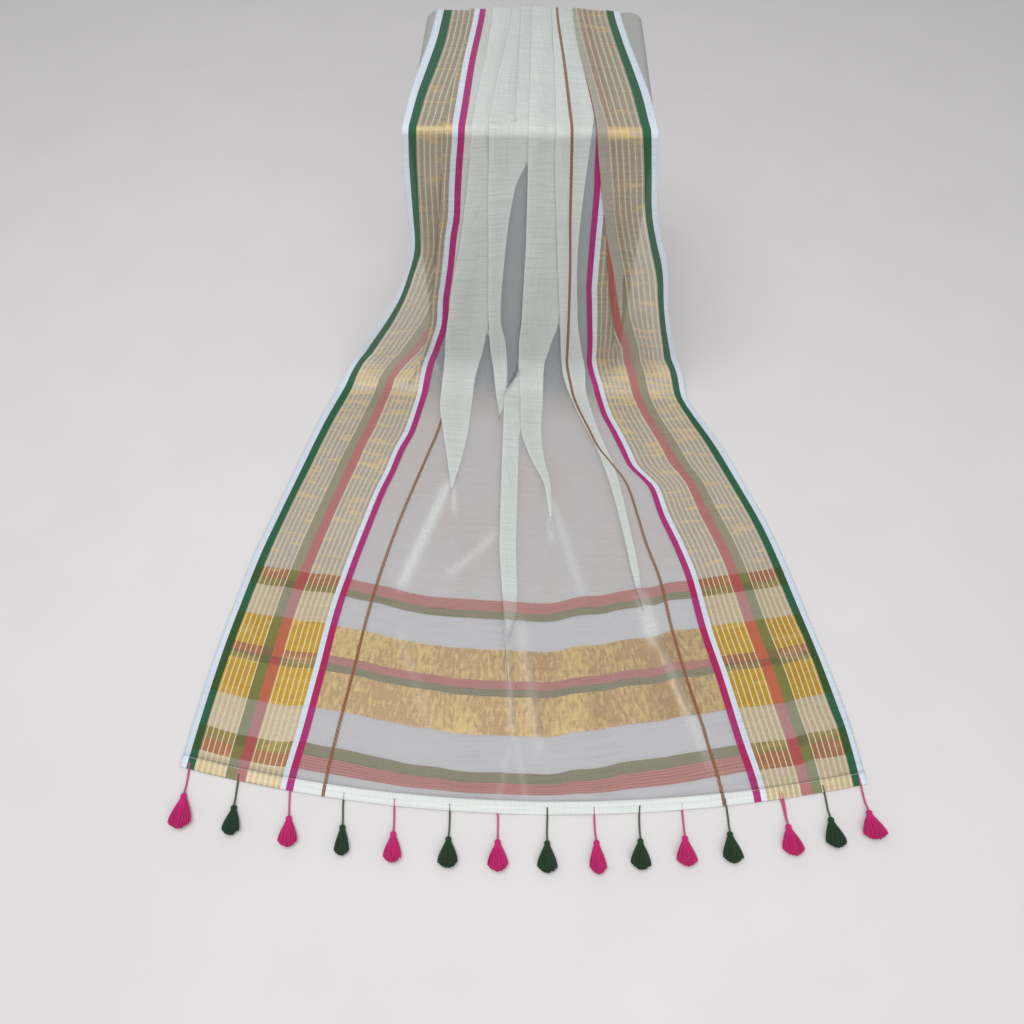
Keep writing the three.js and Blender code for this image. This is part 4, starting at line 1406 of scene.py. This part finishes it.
@dataclass
class PlainStand:
    """The plinth under the cloth: four flat sides and a top, with rounded corners and edges."""

    half: float = STAND_HALF
    height: float = STAND_HEIGHT
    corner: float = 25.0
    edge: float = STAND_EDGE_RADIUS

    def build(self, finish: bpy.types.Material) -> bpy.types.Object:
        """Makes the stand.

        Args:
            finish: Its painted surface.

        Returns:
            The piece.
        """
        middle = self.half - self.corner

        def ring(inset: float, z: float) -> np.ndarray:
            points = []
            radius = self.corner - inset
            for quarter, (sx, sy) in enumerate(((1, 1), (-1, 1), (-1, -1), (1, -1))):
                for angle in np.linspace(0, math.pi / 2, 13) + quarter * math.pi / 2:
                    x, y = radius * math.cos(angle), radius * math.sin(angle)
                    points.append((sx * middle + x, sy * middle + y, z))
            return np.array(points)

        turn = np.linspace(0, math.pi / 2, 7)
        lower = [ring(self.edge * (1 - math.sin(a)), self.edge * (1 - math.cos(a))) for a in turn]
        upper = [ring(self.edge * (1 - math.cos(a)), self.height - self.edge * (1 - math.sin(a)))
                 for a in turn]
        # narrow rings on the flat faces keep their shading flat
        shelf = [ring(self.edge + k, self.height) for k in (4.0, 10.0)]
        foot = [ring(self.edge + k, 0.0) for k in (10.0, 4.0)]
        walls = [ring(0.0, z) for z in np.linspace(self.edge, self.height - self.edge, 8)[1:-1]]
        parts = Parts()
        parts.loft([*foot, *lower, *walls, *upper, *shelf])
        obj = parts.build("plain_stand", (finish,))
        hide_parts("stand")
        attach(obj, ROOT)
        return obj


@dataclass
class HemStitches:
    """A row of running stitches that holds the turned hem."""

    spacing: float = 3.4
    length: float = 2.1
    radius: float = 0.28
    from_fold: float = 1.6
    from_selvedge: float = 4.0

    def build(self, line: SideLine, thread: bpy.types.Material, level: float) -> bpy.types.Object:
        """Makes the stitches.

        Args:
            line: The line that the cloth follows.
            thread: What they are sewn with.
            level: Height of the hem's upper face.

        Returns:
            The piece.
        """
        run = HEM_RUN - HEM_WIDTH + self.from_fold
        left, right = SELVEDGES.at(run)
        x = np.linspace(left + self.from_selvedge, right - self.from_selvedge, 240)
        base, _ = line.at(run)
        points = np.stack([x, base[0] + bow(run, x), 0 * x + level], axis=1) * MM
        mesh = bpy.data.meshes.new("hem_stitches")
        mesh.from_pydata(points.tolist(), [(i, i + 1) for i in range(len(points) - 1)], [])
        obj = bpy.data.objects.new("hem_stitches", mesh)
        bpy.context.scene.collection.objects.link(obj)
        tree, given = node_group("running_stitches", (
            ("Spacing", "NodeSocketFloat", 0.003), ("Length", "NodeSocketFloat", 0.002),
            ("Radius", "NodeSocketFloat", 0.0003), ("Thread", "NodeSocketMaterial", None)))
        g = given.outputs
        path = add_node(tree, "GeometryNodeMeshToCurve", None, {0: g["Geometry"]})
        even = add_node(tree, "GeometryNodeResampleCurve", {"mode": "LENGTH"}, {
            "Curve": path.outputs[0], "Length": g["Spacing"]})
        tangent = add_node(tree, "GeometryNodeInputTangent")
        facing = add_node(tree, "FunctionNodeAlignRotationToVector", {"axis": "X"}, {
            "Vector": tangent.outputs[0]})
        ends = add_node(tree, "ShaderNodeCombineXYZ", None, {0: g["Length"]})
        stitch = add_node(tree, "GeometryNodeCurvePrimitiveLine", None, {"End": ends.outputs[0]})
        stitch = add_node(tree, "GeometryNodeResampleCurve", None, {"Curve": stitch.outputs[0], "Count": 4})
        t = add_node(tree, "GeometryNodeSplineParameter").outputs["Factor"]
        arch = add_node(tree, "ShaderNodeMath", {"operation": "MULTIPLY"}, {0: t, 1: math.pi})
        arch = add_node(tree, "ShaderNodeMath", {"operation": "SINE"}, {0: arch.outputs[0]})
        arch = add_node(tree, "ShaderNodeMath", {"operation": "MULTIPLY"}, {
            0: arch.outputs[0], 1: g["Radius"]})
        lift = add_node(tree, "ShaderNodeCombineXYZ", None, {2: arch.outputs[0]})
        stitch = add_node(tree, "GeometryNodeSetPosition", None, {
            "Geometry": stitch.outputs[0], "Offset": lift.outputs[0]})
        ring = add_node(tree, "GeometryNodeCurvePrimitiveCircle", None, {
            "Resolution": 5, "Radius": g["Radius"]})
        solid = add_node(tree, "GeometryNodeCurveToMesh", None, {
            "Curve": stitch.outputs[0], "Profile Curve": ring.outputs[0], "Fill Caps": True})
        placed = add_node(tree, "GeometryNodeInstanceOnPoints", None, {
            "Points": even.outputs[0], "Instance": solid.outputs[0], "Rotation": facing.outputs[0]})
        plain = add_node(tree, "GeometryNodeRealizeInstances", None, {"Geometry": placed.outputs[0]})
        sewn = add_node(tree, "GeometryNodeSetMaterial", None, {
            "Geometry": plain.outputs[0], "Material": g["Thread"]})
        add_node(tree, "NodeGroupOutput", None, {0: sewn.outputs[0]})
        apply_group(obj, tree, {"Spacing": self.spacing * MM, "Length": self.length * MM,
                                "Radius": self.radius * MM, "Thread": thread})
        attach(obj, ROOT)
        return obj


@dataclass
class FoldedLength:
    """What is left of the saree: it hangs down behind the stand and is folded to and fro below."""

    layers: int = 9
    depth: float = 300.0
    top: float = 36.3
    near: float = 239.0
    tight: float = 0.3
    wide: float = 3.6
    foot_radius: float = 24.0
    start_inset: float = 30.0

    def line(self) -> SideLine:
        """The side line, from the cloth's inner end at the bottom of the pile to the stand's back edge."""
        far = self.near + self.depth
        on_top, behind = STAND_HEIGHT + GAP, STAND_HALF + GAP
        corners = [(BACK_EDGE_RUN + self.start_inset, STAND_HALF - self.start_inset, on_top, 0.0),
                   (BACK_EDGE_RUN, behind, on_top, STAND_EDGE_RADIUS),
                   (BACK_FOOT_RUN, behind, self.top, self.foot_radius)]
        run, y, z = STACK_END_RUN, far, self.top
        for layer in range(self.layers):
            radius = self.tight if layer % 2 == 0 else self.wide
            corners.append((run, y, z, radius))
            run, z = run - 2 * radius, z - 2 * radius
            corners.append((run, y, z, radius))
            y = self.near if y == far else far
            run -= self.depth
        corners.append((run, y, z, 0.0))
        return SideLine(corners[::-1])

    def build(self, cloth: bpy.types.Material) -> bpy.types.Object:
        """Makes the folded and hanging length.

        Args:
            cloth: The woven cloth.

        Returns:
            The piece.
        """
        line = self.line()
        start = float(line.samples[0, 0])
        bends = [(BACK_EDGE_RUN, STAND_EDGE_RADIUS), (BACK_FOOT_RUN, self.foot_radius)]
        run = STACK_END_RUN
        for layer in range(self.layers):
            radius = self.tight if layer % 2 == 0 else self.wide
            bends.append((run - radius, 2 * radius))
            run -= 2 * radius + self.depth
        obj = PleatedCloth(
            "saree_left_over", line, start, BACK_EDGE_RUN - SHEET_JOIN, row_step=24.0, forward_points=8,
            back_points=3, thickness=0.4, bends=tuple(bends), bend_rows=7, relief=0.0,
        ).build(cloth)
        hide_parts("saree_folded", "saree_back")
        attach(obj, ROOT)
        return obj


@dataclass(frozen=True)
class Studio:
    """Camera, soft light and a pale floor."""

    camera_place: tuple[float, float, float] = (0.0, -1.388, 1.267)
    camera_turn: tuple[float, float, float] = (32.76, 0.0, 1.55)
    lens: float = 26.55
    sensor: float = 36.0
    floor_half: float = 6.0
    floor_drop: float = 0.0004
    sky: tuple[float, float, float, float] = (0.96, 0.97, 1.0, 1.0)
    sky_strength: float = 0.55

    def set_up(self) -> None:
        """Makes the camera first, then the lights and the floor."""
        scene = bpy.context.scene
        data = bpy.data.cameras.new("camera")
        data.lens, data.sensor_width = self.lens, self.sensor
        camera = bpy.data.objects.new("camera", data)
        camera.location = self.camera_place
        camera.rotation_euler = [math.radians(a) for a in self.camera_turn]
        scene.collection.objects.link(camera)
        scene.camera = camera
        scene.view_settings.view_transform = "Standard"
        scene.cycles.transparent_max_bounces = 18
        scene.cycles.diffuse_bounces = 3
        for name, place, aim, size, power in (
            ("overhead", (-0.5, -0.9, 3.0), (0.0, -0.3, 0.2), 2.4, 52),
            ("front", (0.9, -3.2, 1.9), (0.0, -0.2, 0.3), 2.0, 26),
        ):
            lamp = bpy.data.lights.new(name, "AREA")
            lamp.shape, lamp.size, lamp.energy = "DISK", size, power
            light = bpy.data.objects.new(name, lamp)
            light.location = place
            light.rotation_euler = (Vector(aim) - Vector(place)).to_track_quat("-Z", "Y").to_euler()
            scene.collection.objects.link(light)
        world = bpy.data.worlds.new("studio")
        world.use_nodes = True
        background = world.node_tree.nodes["Background"]
        background.inputs["Color"].default_value = self.sky
        background.inputs["Strength"].default_value = self.sky_strength
        scene.world = world
        half, below = self.floor_half, -self.floor_drop
        corners = np.array([
            (-half, -half, below), (half, -half, below), (half, half, below), (-half, half, below)])
        paint = PlainFinish("pale_floor_paint", Colour.FLOOR, None, 0.8, 3.0, 0.02).make()
        floor = add_object("floor", corners, [(0, 1, 2, 3)], paint)


def main() -> None:
    """Builds every piece around the frame."""
    logging.basicConfig(level=logging.INFO, format="%(message)s")
    Studio().set_up()
    cloth = HandloomCotton().make()
    turned_cloth = HandloomCotton(
        "turned_handloom_hem", body_cover=0.8, stacked_cover=0.85, border_cover=0.85, stripe_cover=0.9,
        band_cover=0.85, greyed=0.0,
    ).make()
    on_top, behind, pile_top, on_floor = STAND_HEIGHT + GAP, STAND_HALF + GAP, 36 + GAP, GAP / 2
    line = SideLine([
        (BACK_FOOT_RUN, behind, pile_top, 0.0), (BACK_EDGE_RUN, behind, on_top, STAND_EDGE_RADIUS),
        (0.0, -behind, on_top, STAND_EDGE_RADIUS), (FOOT_RUN, -behind, on_floor, FOOT_RADIUS),
        (HEM_RUN, -STAND_HALF - FLOOR_REACH, on_floor, 0.0),
    ])
    front = PleatedCloth(
        "saree_front", line, BACK_EDGE_RUN - SHEET_JOIN, HEM_RUN - HEM_WIDTH,
        bends=((BACK_EDGE_RUN, STAND_EDGE_RADIUS), (0.0, STAND_EDGE_RADIUS), (FOOT_RUN, FOOT_RADIUS)),
    ).build(cloth)
    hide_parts("saree_top", "saree_drop", "saree_spread", "saree_pallu")
    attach(front, ROOT)
    LOG.info("%s: %d faces", front.name, len(front.data.polygons))

    hem = PleatedCloth(
        "turned_hem", line, HEM_RUN - HEM_WIDTH, HEM_RUN, row_step=4.0, thickness=1.1).build(turned_cloth)
    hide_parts("pallu_hem")
    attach(hem, ROOT)
    thread = PlainFinish("white_sewing_cotton", Colour.STITCH, None, 0.8, 0.6, 0.05, 1.53).make()
    stitches = HemStitches().build(line, thread, 3.0)
    LOG.info("hem: %d stitch faces", len(stitches.data.polygons))

    yarns = [PlainFinish(f"{label}_tassel_cotton", shade, None, 0.85, 1.2, 0.15, 1.53, 0.06).make()
             for label, shade in (("magenta", Colour.TASSEL_PINK), ("dark_green", Colour.TASSEL_GREEN))]
    cords = [PlainFinish(f"{label}_twisted_cord", shade, None, 0.85, 0.8, 0.1, 1.53, 0.2).make()
             for label, shade in (("rose", Colour.CORD_PINK), ("grey_green", Colour.CORD_GREEN))]
    tassels = Tassels().build(yarns, cords)
    LOG.info("%d tassels", len(tassels))

    left_over = FoldedLength().build(cloth)
    LOG.info("%s: %d faces", left_over.name, len(left_over.data.polygons))
    paint = PlainFinish("eggshell_painted_board", Colour.STAND, None, 0.55, 2.5, 0.04).make()
    PlainStand().build(paint)


if __name__ == "__main__":
    main()
